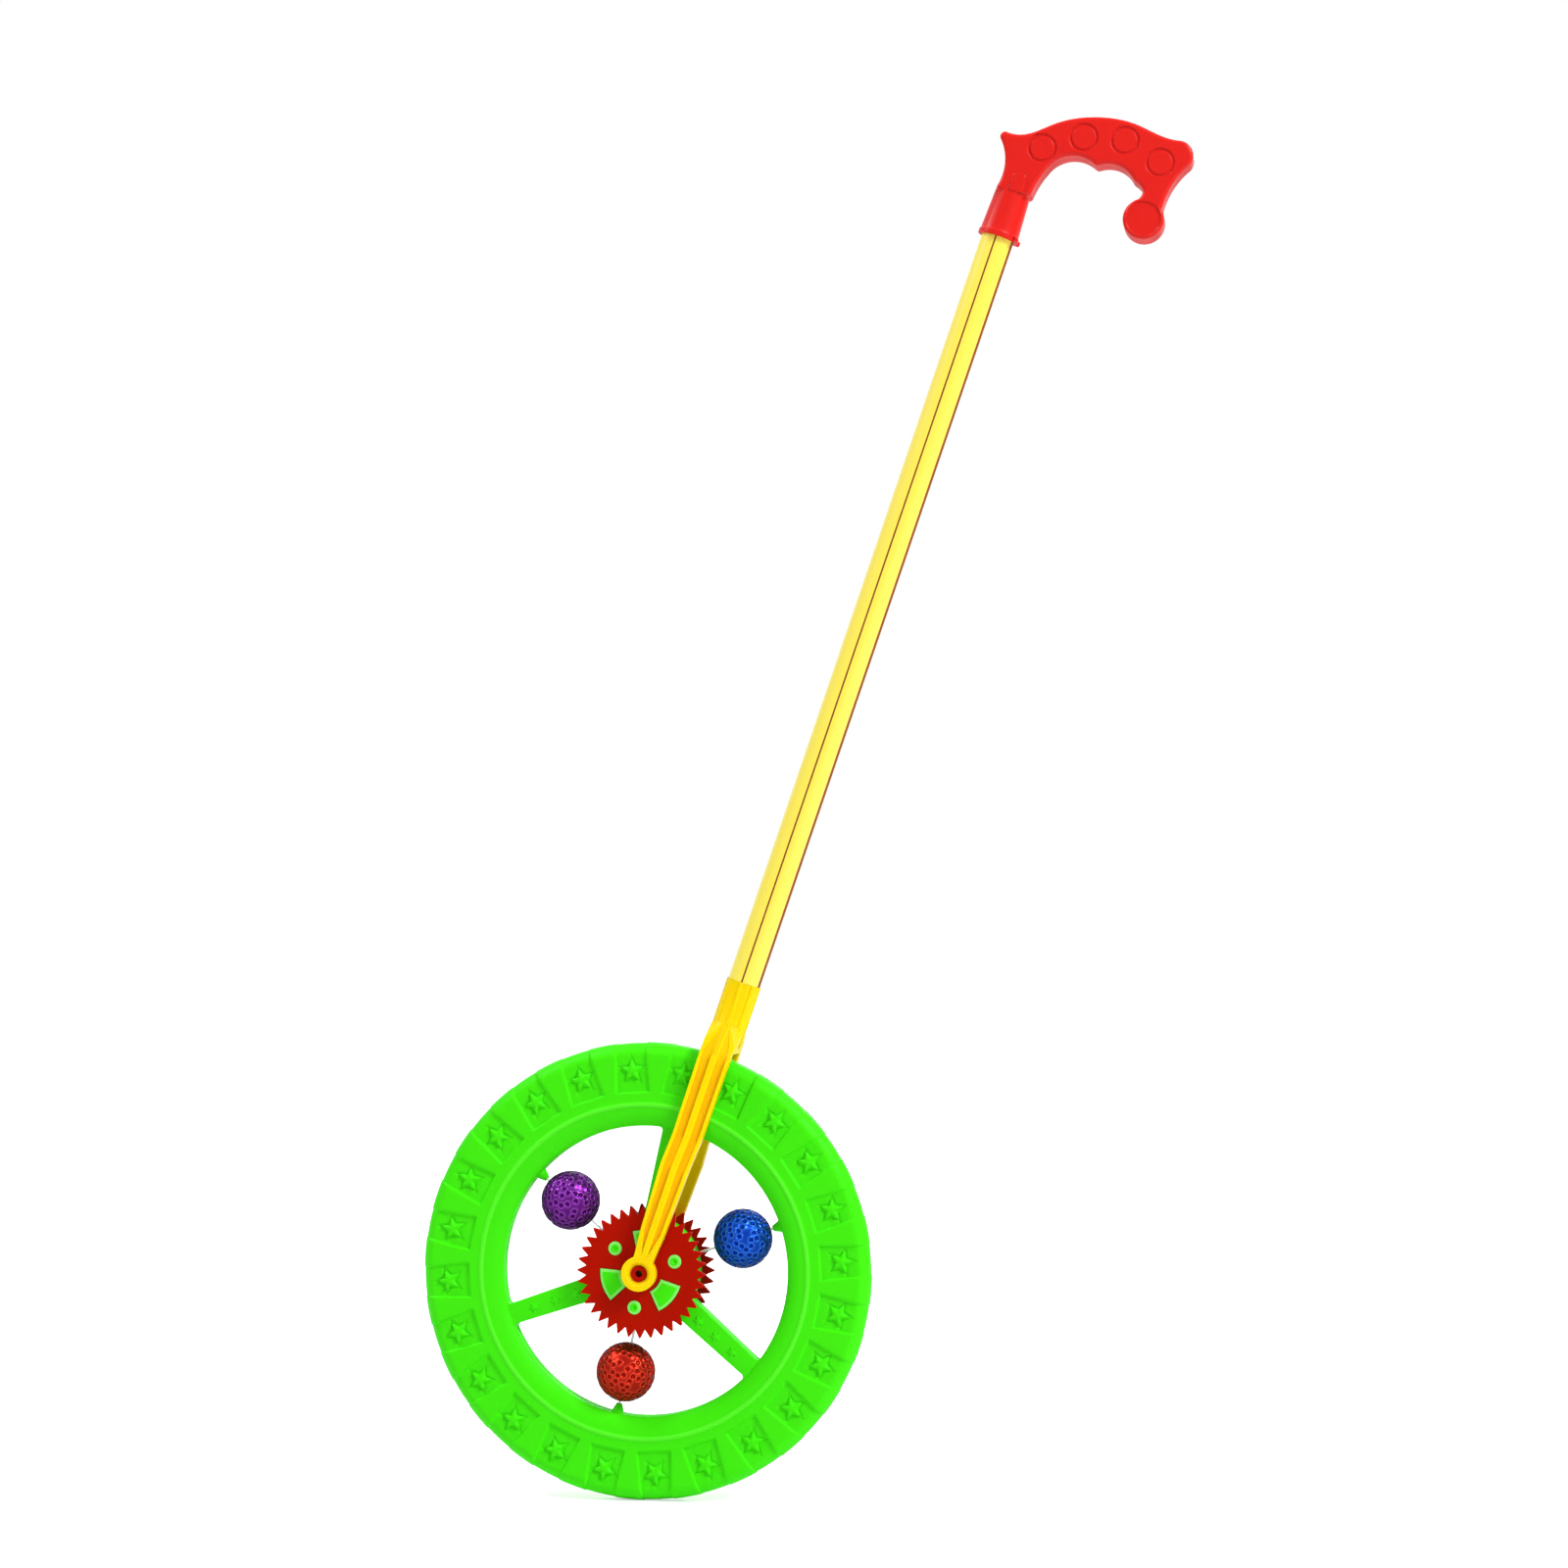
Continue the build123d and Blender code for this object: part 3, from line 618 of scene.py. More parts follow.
class RingedRelief(BakedTree):
    """Scatters small pits with raised rims all over a ball."""

    # The least distance between two pits, as a share of the pitch
    closest = 0.68
    # Height of the surface, by distance from the nearest pit's middle as a share of the pitch
    middle = (0.0, 0.0)
    wall = ((0.14, 0.02), (0.27, 0.7), (0.36, 1.0), (0.46, 0.85), (0.6, 0.65))
    between = (1.0, 0.6)

    def __init__(self) -> None:
        """Build the tree with its named inputs."""
        kinds = {"Radius": "Float", "Centre": "Vector", "Pitch": "Float", "Density": "Float"}
        super().__init__("ringed_relief", {**kinds, "Relief": "Float", "Seed": "Int"})
        tree, given = self.tree, self.given
        ball = add_node(tree, "GeometryNodeMeshIcoSphere", {"Radius": given["Radius"], "Subdivisions": 7})
        least = add_node(tree, "ShaderNodeMath", (given["Pitch"], self.closest), operation="MULTIPLY")
        scatter = {"Mesh": ball, "Distance Min": least}
        scatter |= {"Density Max": given["Density"], "Seed": given["Seed"]}
        dots = add_node(tree, "GeometryNodeDistributePointsOnFaces", scatter, distribute_method="POISSON")
        near = add_node(tree, "GeometryNodeProximity", (dots.outputs["Points"],), target_element="POINTS")
        apart = near.outputs["Distance"]
        share = add_node(tree, "ShaderNodeMath", (apart, given["Pitch"]), operation="DIVIDE")
        ring = add_node(tree, "ShaderNodeFloatCurve", {"Value": share})
        points = ring.mapping.curves[0].points
        points[0].location, points[1].location = self.middle, self.between
        for where, height in self.wall:
            points.new(where, height)
        ring.mapping.update()
        sunk = add_node(tree, "ShaderNodeMath", (ring, 1.0), operation="SUBTRACT")
        depth = add_node(tree, "ShaderNodeMath", (sunk, given["Relief"]), operation="MULTIPLY")
        inward = {0: add_node(tree, "GeometryNodeInputNormal"), "Scale": depth}
        push = add_node(tree, "ShaderNodeVectorMath", inward, operation="SCALE")
        formed = add_node(tree, "GeometryNodeSetPosition", {"Geometry": ball, "Offset": push})
        place = {"Geometry": formed, "Translation": given["Centre"]}
        moved = add_node(tree, "GeometryNodeTransform", place)
        self.end(add_node(tree, "GeometryNodeRealizeInstances", (moved,)))


# Sub-assemblies


@dataclass
class WheelHalf:
    """One half of the green wheel: a hollow moulding that meets the other at the middle plane."""

    side: Side
    round_axle: RoundTheAxle
    radius: float = -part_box("wheel_front_half")[0].z
    half_thickness: float = 8.0 * MM
    shoulder_radius: float = 104.5 * MM
    ridge_radius: float = 79.0 * MM
    opening_radius: float = 69.7 * MM
    half_land: float = 4.5 * MM
    slope_bulge: float = 0.9 * MM
    edge_round: float = 0.9 * MM
    bead_circle: float = 80.0 * MM
    bead_width: float = 1.1 * MM
    bead_height: float = 0.45 * MM
    bead_lift: float = 0.075 * MM
    bead_steps: int = 288
    parting_chamfer: float = 0.35 * MM
    panel_count: int = 24
    panel_inner_radius: float = 86.0 * MM
    panel_inner_width: float = 16.6 * MM
    panel_outer_width: float = 14.4 * MM
    panel_depth: float = 1.2 * MM
    panel_edge: float = 1.0 * MM
    tread_step: float = 0.3 * MM
    star_radius: float = 5.2 * MM
    star_circle: float = 96.45 * MM
    star_height: float = 1.1 * MM
    star_crown: float = 0.5 * MM
    star_edge: float = 0.6 * MM
    star_moat: float = 0.55 * MM
    star_moat_share: float = 0.7
    star_waist_share: float = 0.44
    spoke_count: int = 3
    first_spoke: float = radians(78.5)
    spoke_hub_width: float = 12.4 * MM
    spoke_rim_width: float = 9.6 * MM
    spoke_rim_reach: float = 77.0 * MM
    spoke_root: float = 4.0 * MM
    spoke_tip: float = 1.5 * MM
    spoke_flare: float = 1.6 * MM
    spoke_soft: float = 0.6 * MM
    spoke_star_radius: float = 2.7 * MM
    spoke_star_height: float = 0.5 * MM
    spoke_star_soft: float = 0.3 * MM
    spoke_star_shares: tuple[float, ...] = (0.22, 0.47, 0.72)
    drum_radius: float = 25.6 * MM
    drum_half: float = 10.1 * MM
    drum_steps: int = 96
    hub_soft: float = 0.5 * MM
    key_face: float = 12.9 * MM
    pad_inner_radius: float = 9.9 * MM
    pad_outer_radius: float = 20.1 * MM
    pad_half_angle: float = radians(23.5)
    # Width of the paler border round the pads and pins, a painted highlight
    highlight_border: float = 1.1 * MM
    pad_rise: float = 0.15 * MM
    pin_circle: float = 17.1 * MM
    pin_radius: float = 3.3 * MM
    pin_soft: float = 0.4 * MM
    pin_steps: int = 32
    dimple_radius: float = 1.2 * MM
    dimple_floor: float = 0.72 * MM
    dimple_depth: float = 0.6 * MM
    cone_base: float = 3.6 * MM
    cone_tip: float = 1.4 * MM
    cone_height: float = 4.2 * MM
    # Spacing of the rim's rows, its shares at the stars and walls, the reach of a wall's close columns
    # over the panel's edge, and the columns of each stretch
    facet: float = 0.9 * MM
    star_share: float = 0.55
    wall_share: float = 0.3
    wall_band: float = 0.6
    columns: tuple[int, ...] = (14, 2, 6, 3)
    seam: float = 0.01 * MM

    def rim_profile(self) -> tuple[np.ndarray, np.ndarray]:
        """Trace half of the rim's section, with its corners softened.

        Returns:
            Points as rows of radius and distance from the middle plane, and their outward normals.
        """
        rise = self.radius - self.shoulder_radius
        bow = (rise**2 + self.half_thickness**2) / (2 * rise)
        end = asin(self.half_thickness / bow)
        tread = arc(bow, np.linspace(0, end, 60), (self.radius - bow, 0.0))
        width, drop = self.ridge_radius - self.opening_radius, self.half_thickness - self.half_land
        chord = hypot(width, drop)
        t = np.linspace(0, 1, 13)
        out = 4 * self.slope_bulge * t * (1 - t) / chord
        inward, down = t * width + out * drop, t * drop - out * width
        slope = zip(self.ridge_radius - inward, self.half_thickness - down)
        corners = np.array([*tread, *slope, (self.opening_radius, 0)])
        soft = softened(resampled(corners, self.edge_round / 12), self.edge_round)
        chamfer = np.clip(self.parting_chamfer - soft[:, 1], 0, None)
        soft[:, 0] += np.where(soft[:, 0] > self.ridge_radius, -chamfer, chamfer)
        off_star = np.abs(soft[:, 0] - self.star_circle) - self.star_radius
        off_wall = np.abs(soft[:, 0] - self.panel_inner_radius - self.panel_edge / 4)
        share = np.where(off_wall < self.panel_edge, self.wall_share, 1.0)
        share = np.where(off_star < self.star_edge, self.star_share, share)
        points = resampled(soft, self.facet, share)
        along = np.gradient(points, axis=0)
        along /= np.linalg.norm(along, axis=1)[:, None]
        return points, np.stack([along[:, 1], -along[:, 0]], axis=1)

    def panel_half_width(self, out: np.ndarray) -> np.ndarray:
        """Give half of a panel's width at each distance from the axle."""
        share = (out - self.panel_inner_radius) / (self.radius - self.panel_inner_radius)
        return (self.panel_inner_width + share * (self.panel_outer_width - self.panel_inner_width)) / 2

    def relief(self, radius: np.ndarray, angle: np.ndarray) -> np.ndarray:
        """Depth or height of the bead, the panel and its star over the plain rim.

        Args:
            radius: distance from the axle.
            angle: angle from the panel's middle line in radians.

        Returns:
            The height, negative where the panel is sunk.
        """
        out, across = radius * np.cos(angle), radius * np.sin(angle)
        wall = self.panel_edge / 2
        inside = smooth_step(self.panel_half_width(out) - np.abs(across), -wall, wall)
        inside *= smooth_step(out - self.panel_inner_radius, -wall, wall)
        depth = self.star_depth(out - self.star_circle, across)
        star = self.star_height * smooth_step(depth, -self.star_edge / 2, self.star_edge / 2)
        star += self.star_crown * np.clip(depth / (self.star_radius / 3), 0, 1)
        moat = self.star_edge * self.star_moat_share
        star -= self.star_moat * np.exp(-(((depth + self.star_edge) / moat) ** 2))
        tread = np.clip((radius - self.shoulder_radius) / (self.radius - self.shoulder_radius), 0, 1)
        bead = self.bead_height * np.exp(-(((radius - self.bead_circle) / self.bead_width) ** 2))
        return bead + inside * (star - self.panel_depth + tread * (self.panel_depth - self.tread_step))

    def star_corners(self, radius: float) -> list:
        """Corners of a five-pointed star that points along +X."""
        reach = (radius, radius * self.star_waist_share)
        return [arc(reach[n % 2], [n * pi / 5])[0] for n in range(10)]

    def star_depth(self, out: np.ndarray, across: np.ndarray) -> np.ndarray:
        """Measure how far inside a panel's star each place lies.

        Args:
            out: distance from the star's middle along its first point.
            across: distance to the side of it.

        Returns:
            The distance to the nearest edge line, negative outside.
        """
        fifth = tau / 5
        reach, angle = np.hypot(out, across), np.arctan2(across, out)
        folded = np.abs((angle + fifth / 2) % fifth - fifth / 2)
        notch = arc(self.star_radius * self.star_waist_share, [fifth / 2])[0]
        edge = np.subtract(notch, (self.star_radius, 0.0))
        edge /= np.linalg.norm(edge)
        return (self.star_radius - reach * np.cos(folded)) * edge[1] + reach * np.sin(folded) * edge[0]

    def rim_angles(self, radius: np.ndarray) -> np.ndarray:
        """Space the columns of a panel's share of the rim, closest at its star and its walls.

        Args:
            radius: one for each row.

        Returns:
            The angles of each row, from the panel's middle line.
        """
        reach = np.clip(radius, self.panel_inner_radius, self.radius)
        wall = self.panel_half_width(reach) / reach
        band = self.wall_band * (self.panel_edge / reach)
        star = np.minimum((self.star_radius + 2 * self.star_edge) / self.star_circle, wall - 2 * band)
        end = np.full_like(reach, pi / self.panel_count)
        stops = [np.zeros_like(reach), star, wall - band, wall + band, end]
        spans = zip(stops, stops[1:], self.columns)
        parts = [np.linspace(start, end, count + 1)[1:] for start, end, count in spans]
        right = np.concatenate([stops[:1], *parts])
        return np.concatenate([-right[:0:-1], right]).T

    def rim_sector(self) -> Mesh:
        """Make one panel's share of the rim.

        Returns:
            A strip of the shell, open only at its two radial ends.
        """
        points, normals = self.rim_profile()
        angle = self.rim_angles(points[:, 0])
        height = self.relief(points[:, :1], angle)
        radius, depth = points[:, :1] + height * normals[:, :1], points[:, 1:] + height * normals[:, 1:]
        grid = np.stack([radius * np.cos(angle), self.side.value * depth, radius * np.sin(angle)], axis=-1)
        faces = grid_faces(*angle.shape, wrapped=False, flipped=self.side is Side.REAR)
        return mesh_of("rim_sector", grid.reshape(-1, 3), faces)

    def spoke_outline(self) -> list:
        """Draw one spoke that points along +X, flared where it meets the rim.

        Returns:
            Its corners as x and z.
        """
        slope = (self.spoke_rim_width - self.spoke_hub_width) / 2 / self.spoke_rim_reach
        start = self.spoke_hub_width / 2
        reach = self.opening_radius - self.spoke_flare
        out = reach
        # The flare's middle lies on both lines once this has settled
        for _ in range(20):
            off = start + slope * out + self.spoke_flare * hypot(1, slope)
            out = sqrt(reach**2 - off**2)
        first, last = atan(slope) - pi / 2, atan2(off, out)
        flare = arc(self.spoke_flare, np.linspace(first, last, 10), (out, off))
        edge = atan2(flare[-1][1], flare[-1][0])
        hub = self.drum_radius - self.spoke_root
        upper = [(hub, start + slope * hub), *flare, *arc(self.opening_radius + self.spoke_tip, [edge])]
        return upper + [(x, -z) for x, z in reversed(upper)]

    def spoke(self) -> Mesh:
        """Make one spoke with its three small stars.

        Returns:
            The closed meshes of the spoke and its stars, as one.
        """
        low, top = self.half_land - FOOT, self.half_land + self.spoke_star_height
        made = [prism("spoke", self.side, self.spoke_outline(), 0, self.half_land, self.spoke_soft)]
        for share in self.spoke_star_shares:
            middle = self.drum_radius + share * (self.opening_radius - self.drum_radius)
            outline = [(middle + x, z) for x, z in self.star_corners(self.spoke_star_radius)]
            soft, crown = self.spoke_star_soft, self.spoke_star_height / 2
            made.append(prism("star", self.side, outline, low, top, soft, crown))
        return joined("spoke", made)

    def keys(self, inset: float = 0.0, rise: float = 0.0) -> tuple[Mesh, Mesh]:
        """Make one of the pads that key the toothed disc, and one of the dimpled pins between them.

        Args:
            inset: how far they lie inside their own outlines.
            rise: how far they stand over their own faces.

        Returns:
            The closed meshes of a pad and a pin.
        """
        low, top = self.drum_half - FOOT, self.key_face + rise
        outline = []
        for radius, order in ((self.pad_outer_radius - inset, 1), (self.pad_inner_radius + inset, -1)):
            spread = self.pad_half_angle - inset / radius
            outline += arc(radius, np.linspace(-spread, spread, 13)[::order])
        pad = prism("pad", self.side, outline, low, top, self.hub_soft)
        radius, floor, soft = self.pin_radius - inset, top - self.dimple_depth, self.pin_soft
        rim = [(0, low), (radius, low), (radius, top - soft), (radius - soft, top)]
        dimple = [(self.dimple_radius, top), (self.dimple_floor, floor), (0, floor)]
        upright = Matrix(((1, 0, 0, self.pin_circle), (0, 0, self.side.value, 0), (0, 1, 0, 0), (0, 0, 0, 1)))
        return pad, turned("pin", rim + dimple, self.pin_steps, upright)

    def bead(self) -> Mesh:
        """Make the crest of the bead that runs round the inside of the panels.

        Returns:
            The closed ring.
        """
        crest = self.half_thickness + self.bead_lift
        width, middle = self.bead_width, self.bead_circle
        across = np.linspace(-width, width, 9)
        hill = [(x, crest + self.bead_height * exp(-((x / width) ** 2))) for x in across]
        section = [(-width, crest - FOOT), *hill, (width, crest - FOOT)]
        points = [
            ((middle + x) * cos(a), self.side.value * y, (middle + x) * sin(a))
            for a in np.linspace(0, tau, self.bead_steps + 1)[:-1]
            for x, y in section
        ]
        faces = grid_faces(self.bead_steps, len(section), wrapped=True, flipped=self.side is Side.FRONT)
        return mesh_of("bead", np.array(points), faces)

    def cone(self) -> Mesh:
        """Make one of the cones where a wire enters the rim.

        Returns:
            The closed mesh.
        """
        reach = self.cone_height + FOOT
        profile = [(0, 0), (self.cone_tip, 0), (self.cone_base, reach), (0, reach)]
        start = self.opening_radius + FOOT - reach
        place = Matrix.Translation((start, 0, 0)) @ Matrix.Rotation(pi / 2, 4, "Y")
        return turned("cone", profile, self.pin_steps, place)

    def drum(self) -> Mesh:
        """Make half of the hub's drum."""
        outline = arc(self.drum_radius, np.linspace(0, tau, self.drum_steps + 1)[:-1])
        return prism("drum", self.side, outline, 0, self.drum_half, self.hub_soft)

    def build(self, material: Material, bright: Material, pale: Material) -> None:
        """Build this half and dress it.

        Args:
            material: the wheel's plastic.
            bright: the same plastic along the rim's bead, lighter as a painted highlight.
            pale: the same plastic along the edges of the pads and pins, paler as a painted highlight.
        """
        ring, node = self.round_axle.ring, f"wheel_{self.side.name.lower()}_half"
        spokes = (self.spoke_count, self.first_spoke)
        between = (self.spoke_count, self.first_spoke - pi / self.spoke_count)
        pad, pin = self.keys(self.highlight_border, self.pad_rise)
        pieces = [
            ring(self.rim_sector(), material, self.panel_count, self.first_spoke, self.seam),
            ring(self.spoke(), material, *spokes),
            ring(self.drum(), material),
            ring(pad, material, *spokes),
            ring(pin, material, *between),
        ]
        if self.side is Side.FRONT:
            pieces.append(ring(self.cone(), material, *between))
        # Full-size pads and pins in the paler plastic show round the inset ones as a painted highlight on
        # their edges
        pad, pin = self.keys()
        keys = [ring(pad, pale, *spokes), ring(pin, pale, *between)]
        made = (
            ("keys", joined(f"{node}_keys", keys), pale, ()),
            # The bead's lighter plastic is a painted highlight along the rim's ridge
            ("bead", ring(self.bead(), bright), bright, ()),
            ("shell", joined(node, pieces), material, (node,)),
        )
        for word, mesh, plastic, nodes in made:
            dress(new_object(node.replace("half", word), mesh), plastic, "wheel", "wheel_plastic", *nodes)


def resampled(points: np.ndarray, step: float, share: np.ndarray | float = 1.0) -> np.ndarray:
    """Space points along a line.

    Args:
        points: rows of two coordinates.
        step: the spacing wanted.
        share: how much of the step to take at each point.

    Returns:
        New rows on the same line, from its first end to its last.
    """
    strides = np.linalg.norm(np.diff(points, axis=0), axis=1) / np.broadcast_to(share, len(points))[1:]
    lengths = np.concatenate([[0], np.cumsum(strides)])
    count = int(round(lengths[-1] / step)) + 1
    where = np.linspace(0, lengths[-1], count)
    return np.stack([np.interp(where, lengths, points[:, n]) for n in (0, 1)], axis=1)


def softened(points: np.ndarray, reach: float) -> np.ndarray:
    """Round the corners of an evenly spaced line by averaging along it.

    Args:
        points: rows of two coordinates.
        reach: how far the average reaches.

    Returns:
        The rounded rows, with both ends kept.
    """
    step = np.linalg.norm(points[1] - points[0])
    width = int(round(reach / step))
    weights = np.exp(-(np.linspace(-2, 2, 4 * width + 1) ** 2))
    weights /= weights.sum()
    before = 2 * points[0] - points[2 * width : 0 : -1]
    after = 2 * points[-1] - points[-2 : -2 * width - 2 : -1]
    padded = np.concatenate([before, points, after])
    return np.stack([np.convolve(padded[:, n], weights, mode="valid") for n in (0, 1)], axis=1)


@dataclass
class ToothedDiscs:
    """The two red discs on the ends of the drum."""

    soft: float = 0.25 * MM

    def build(self, material: Material) -> None:
        """Round the edges of both discs and dress them."""
        for node in ("toothed_disc_front", "toothed_disc_rear"):
            dress(softened_copy(node, self.soft), material, "wheel", "disc_plastic", node)


@dataclass
class RattleBalls:
    """The three pearl balls on their wires."""

    relief_tree: RingedRelief
    radius: float = 14.3 * MM
    circle: float = 50.0 * MM
    pitch: float = 4.0 * MM
    relief: float = 0.7 * MM
    # Tries at a pit for each square of the pitch
    tries: float = 4.0
    first_angle: float = radians(18.5)
    step: float = tau / 3

    def build(self, finishes: dict[str, PearlPlastic], wire: Material, bead: Material) -> None:
        """Build the balls and dress their wires and beads.

        Args:
            finishes: the pearl finish of each ball, by its name.
            wire: the wires' metal.
            bead: the beads' plastic.
        """
        for n, (name, finish) in enumerate(finishes.items()):
            angle = self.first_angle + n * self.step
            centre = Vector((self.circle * cos(angle), 0, self.circle * sin(angle)))
            material = finish.material(centre, self.radius, self.relief)
            sizes = {"Radius": self.radius, "Centre": centre, "Pitch": self.pitch, "Relief": self.relief}
            sizes |= {"Density": self.tries / self.pitch**2, "Seed": n, "Material": material}
            mesh = self.relief_tree.bake(bpy.data.meshes.new("template"), sizes)
            mesh.shade_smooth()
            ball = new_object(f"{name}_ball_shell", mesh)
            halves = (f"{name}_ball_outer_half", f"{name}_ball_inner_half")
            dress(ball, material, f"{name}_ball", f"{name}_ball_plastic", *halves)
            for part, plain, slot in (("wire", wire, "steel_wire"), ("beads", bead, "bead_plastic")):
                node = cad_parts[f"{name}_ball_{part}"]
                node.data.materials.clear()
                node.data.materials.append(plain)
                log.info("%s stays in view", node.name)


@dataclass
class RibbedFork:
    """The yellow fork with its ribbed arms, eyes and ferrule."""

    lean: float = LEAN
    elbow: float = 54.0 * MM
    knee: float = 69.0 * MM
    crotch: float = 113.0 * MM
    crown: float = 13.0 * MM
    inner_hub: float = 15.2 * MM
    inner_rim: float = 9.0 * MM
    plate: float = 4.0 * MM
    rib: float = 1.4 * MM
    crown_reach: float = 16.0 * MM
    soft: float = 0.35 * MM

    def build(self, finish: RibbedYellow) -> None:
        """Round the fork's edges, apart from the crowded ones at its crown, and dress it.

        Args:
            finish: the yellow plastic.
        """
        middle = (self.crotch + self.crown / 2) * Vector((sin(self.lean), 0, cos(self.lean)))
        copy = softened_copy("fork", self.soft, crowded=(middle, self.crown_reach))
        dress(copy, finish.material(self), "push_frame", "fork_plastic", "fork")


@dataclass
class SeamedTube:
    """The rolled tube, with its butt seam at the front and a painted dark reflection as a line down its right
    side.
    """

    lean: float = LEAN
    start: float = 147.0 * MM
    length: float = 397.0 * MM
    radius: float = 8.0 * MM
    wall: float = 0.8 * MM
    seam: float = 0.8 * MM
    seam_depth: float = 0.2 * MM
    seam_floor_share: float = 0.8
    # Where and how wide the painted dark reflection runs down the right side
    reflection_line_angle: float = radians(77)
    reflection_line_width: float = 3.0 * MM
    steps: int = 120

    def build(self, film: Material, edge: Material) -> None:
        """Build the tube and dress it.

        Args:
            film: the tube's outside.
            edge: the raw edges of the sheet with painted shade in the seam, and the painted dark reflection
                down the right side.
        """
        gap = self.seam / self.radius / 2
        line = [self.reflection_line_angle + side * self.reflection_line_width / self.radius / 2 for side in (-1, 1)]
        turns = sorted({*np.linspace(gap, tau - gap, self.steps), *line})
        seam_floor = [tau + side * gap * self.seam_floor_share for side in (-1, 1)]
        outer = [(self.radius, a) for a in turns] + [(self.radius - self.seam_depth, a) for a in seam_floor]
        inner = [(self.radius - self.wall, a) for a in turns + seam_floor]
        across = Vector((cos(self.lean), 0, -sin(self.lean)))
        along = Vector((sin(self.lean), 0, cos(self.lean)))
        low, high = self.start, self.start + self.length
        points = [
            across * radius * sin(a) + Vector((0, -radius * cos(a), 0)) + along * height
            for height, ring in ((low, outer), (high, outer), (high, inner), (low, inner))
            for radius, a in ring
        ]
        first, last, count = turns.index(line[0]), turns.index(line[1]), len(outer)
        # Faces of the seam, raw edge with painted shade, and of the painted dark reflection down the right
        # side
        seam_and_reflection_line = [first <= n < last or n >= len(turns) - 1 for n in range(count)]
        dark = [*seam_and_reflection_line, *[True] * count, *[False] * count, *[True] * count]
        faces = grid_faces(4, count, wrapped=True, flipped=False)
        mesh = mesh_of("stick_tube_film", np.array(points), faces)
        for material in (film, edge):
            mesh.materials.append(material)
        mesh.polygons.foreach_set("material_index", dark)
        mesh.set_sharp_from_angle(angle=radians(40))
        dress(new_object("stick_tube_film", mesh), film, "push_frame", "tube_paint", "stick_tube")


@dataclass
class HookGrip:
    """The red hook grip in its two halves."""

    soft: float = 0.3 * MM

    def build(self, material: Material) -> None:
        """Round the edges of both halves and dress them."""
        for node in ("grip_front_half", "grip_rear_half"):
            dress(softened_copy(node, self.soft), material, "push_frame", "grip_plastic", node)


@dataclass(frozen=True)
class SoftLamp:
    """A soft rectangular lamp, with its place and face in metres and its power in watts."""

    name: str
    place: tuple[float, float, float]
    face: tuple[float, float]
    power: float

    def hang(self, target: Vector) -> None:
        """Hang the lamp.

        Args:
            target: the place that it points at.
        """
        data = bpy.data.lights.new(self.name, "AREA")
        data.shape = "RECTANGLE"
        data.size, data.size_y = self.face
        data.energy = self.power
        lamp = new_object(self.name, data)
        lamp.location = self.place
        lamp.rotation_euler = (target - Vector(self.place)).to_track_quat("-Z", "Y").to_euler()


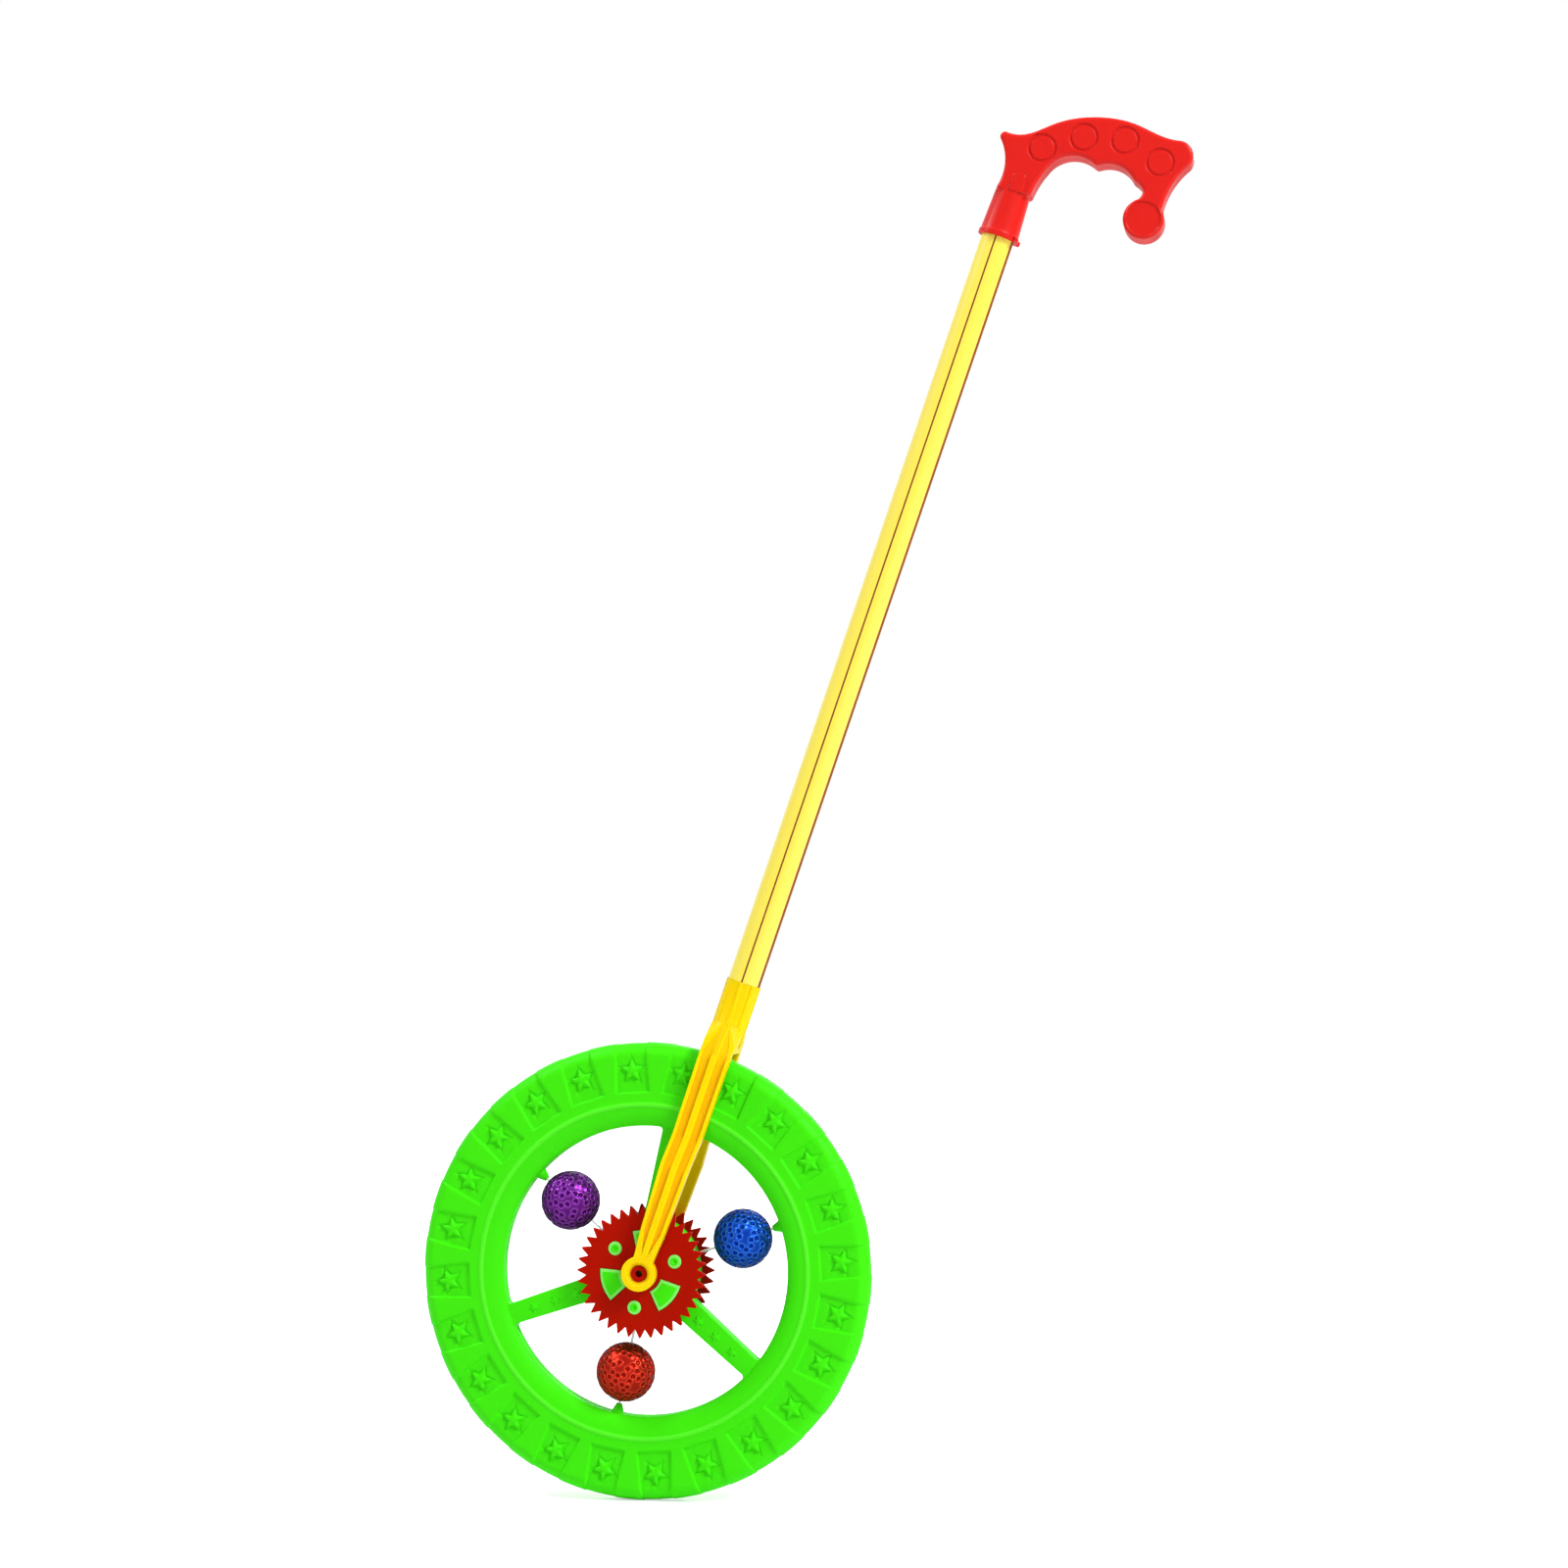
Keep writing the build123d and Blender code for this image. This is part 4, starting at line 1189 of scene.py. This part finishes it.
@dataclass
class Studio:
    """White studio with a pale floor, soft lamps and the photograph's camera."""

    floor_height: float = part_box("wheel_front_half")[0].z
    floor_size: float = 30.0
    floor_colour: str = "F2F2F2"
    floor_roughness: float = 0.9
    # Glow of the floor near the toy and far from it, and how far both are from the axle
    floor_glow: tuple[float, float] = (0.5, 0.8)
    floor_reach: tuple[float, float] = (0.15, 0.9)
    world_level: float = 0.34
    camera_place: tuple[float, float, float] = (0.320, -1.600, 0.160)
    camera_yaw: float = 8.972
    camera_pitch: float = 2.641
    lens: float = 77.0
    sensor: float = 36.0
    middle: tuple[float, float, float] = (0.1, 0.0, 0.2)
    lamps: tuple[SoftLamp, ...] = (
        SoftLamp("upper_right", (2.55, -1.5, 2.4), (1.1, 1.1), 106.0),
        SoftLamp("upper_left", (-1.46, -0.39, 2.2), (0.6, 1.2), 34.0),
        SoftLamp("behind", (0.4, 1.8, 1.4), (1.5, 1.0), 20.0),
    )

    def world(self) -> None:
        """Make a world that is white to the camera and an even light to the toy."""
        world = bpy.data.worlds.new("studio")
        world.use_nodes = True
        bpy.context.scene.world = world
        tree = world.node_tree
        tree.nodes.clear()
        rays = add_node(tree, "ShaderNodeLightPath").outputs
        white = rays["Is Camera Ray"]
        for kind in ("Is Transmission Ray", "Is Glossy Ray"):
            white = add_node(tree, "ShaderNodeMath", (white, rays[kind]), operation="MAXIMUM")
        level = add_node(tree, "ShaderNodeMapRange", (white, 0.0, 1.0, self.world_level, 1.0))
        light = add_node(tree, "ShaderNodeBackground", {"Color": linear("FFFFFF"), "Strength": level})
        add_node(tree, "ShaderNodeOutputWorld", (light,))

    def floor(self) -> None:
        """Lay a pale matt floor that stays near white to the camera and keeps the toy's shadow."""
        half, height = self.floor_size / 2, self.floor_height
        corners = [(x, y, height) for x, y in ((-half, -half), (half, -half), (half, half), (-half, half))]
        floor = new_object("floor", mesh_of("floor", np.array(corners), [(0, 1, 2, 3)]))
        values = {
            "Base Color": linear(self.floor_colour),
            "Roughness": self.floor_roughness,
            "Specular IOR Level": 0.0,
            "Emission Color": linear("FFFFFF"),
        }
        made, shader = new_material("pale_floor", values)
        tree = made.node_tree
        where = add_node(tree, "ShaderNodeTexCoord").outputs["Object"]
        flat = add_node(tree, "ShaderNodeVectorMath", (where, (1.0, 1.0, 0.0)), operation="MULTIPLY")
        away = add_node(tree, "ShaderNodeVectorMath", (flat,), operation="LENGTH").outputs["Value"]
        (near, far), (low, high) = self.floor_reach, self.floor_glow
        level = add_node(tree, "ShaderNodeMapRange", (away, near, far, low, high))
        camera = add_node(tree, "ShaderNodeLightPath").outputs["Is Camera Ray"]
        glow = add_node(tree, "ShaderNodeMath", (level, camera), operation="MULTIPLY")
        tree.links.new(glow.outputs[0], shader.inputs["Emission Strength"])
        floor.data.materials.append(made)

    def camera(self) -> None:
        """Set up the photograph's camera."""
        data = bpy.data.cameras.new("photo_camera")
        data.sensor_width = self.sensor
        data.lens = self.lens
        camera = new_object("photo_camera", data)
        camera.location = self.camera_place
        camera.rotation_euler = (radians(90 + self.camera_pitch), 0, radians(self.camera_yaw))
        bpy.context.scene.camera = camera

    def build(self) -> None:
        """Set up the whole studio."""
        bpy.context.scene.view_settings.view_transform = "Standard"
        self.world()
        self.floor()
        for lamp in self.lamps:
            lamp.hang(Vector(self.middle))
        self.camera()


def main() -> None:
    """Build the toy's looks, then the studio."""
    logging.basicConfig(level=logging.INFO, format="%(message)s")
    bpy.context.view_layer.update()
    round_axle = RoundTheAxle()
    plastics = [lime.material() for lime in (LIME, LIME_BEAD_HIGHLIGHT, LIME_EDGE_HIGHLIGHT)]
    for side in Side:
        WheelHalf(side, round_axle).build(*plastics)
    ToothedDiscs().build(DISC_RED.material())
    RattleBalls(RingedRelief()).build(PEARLS, DRAWN_STEEL.material(), BEAD.material())
    RibbedFork().build(RibbedYellow())
    SeamedTube().build(TUBE_FILM.material(), SHEET_EDGE_SHADE_AND_REFLECTION.material())
    HookGrip().build(GRIP_RED.material())
    Studio().build()


if __name__ == "__main__":
    main()
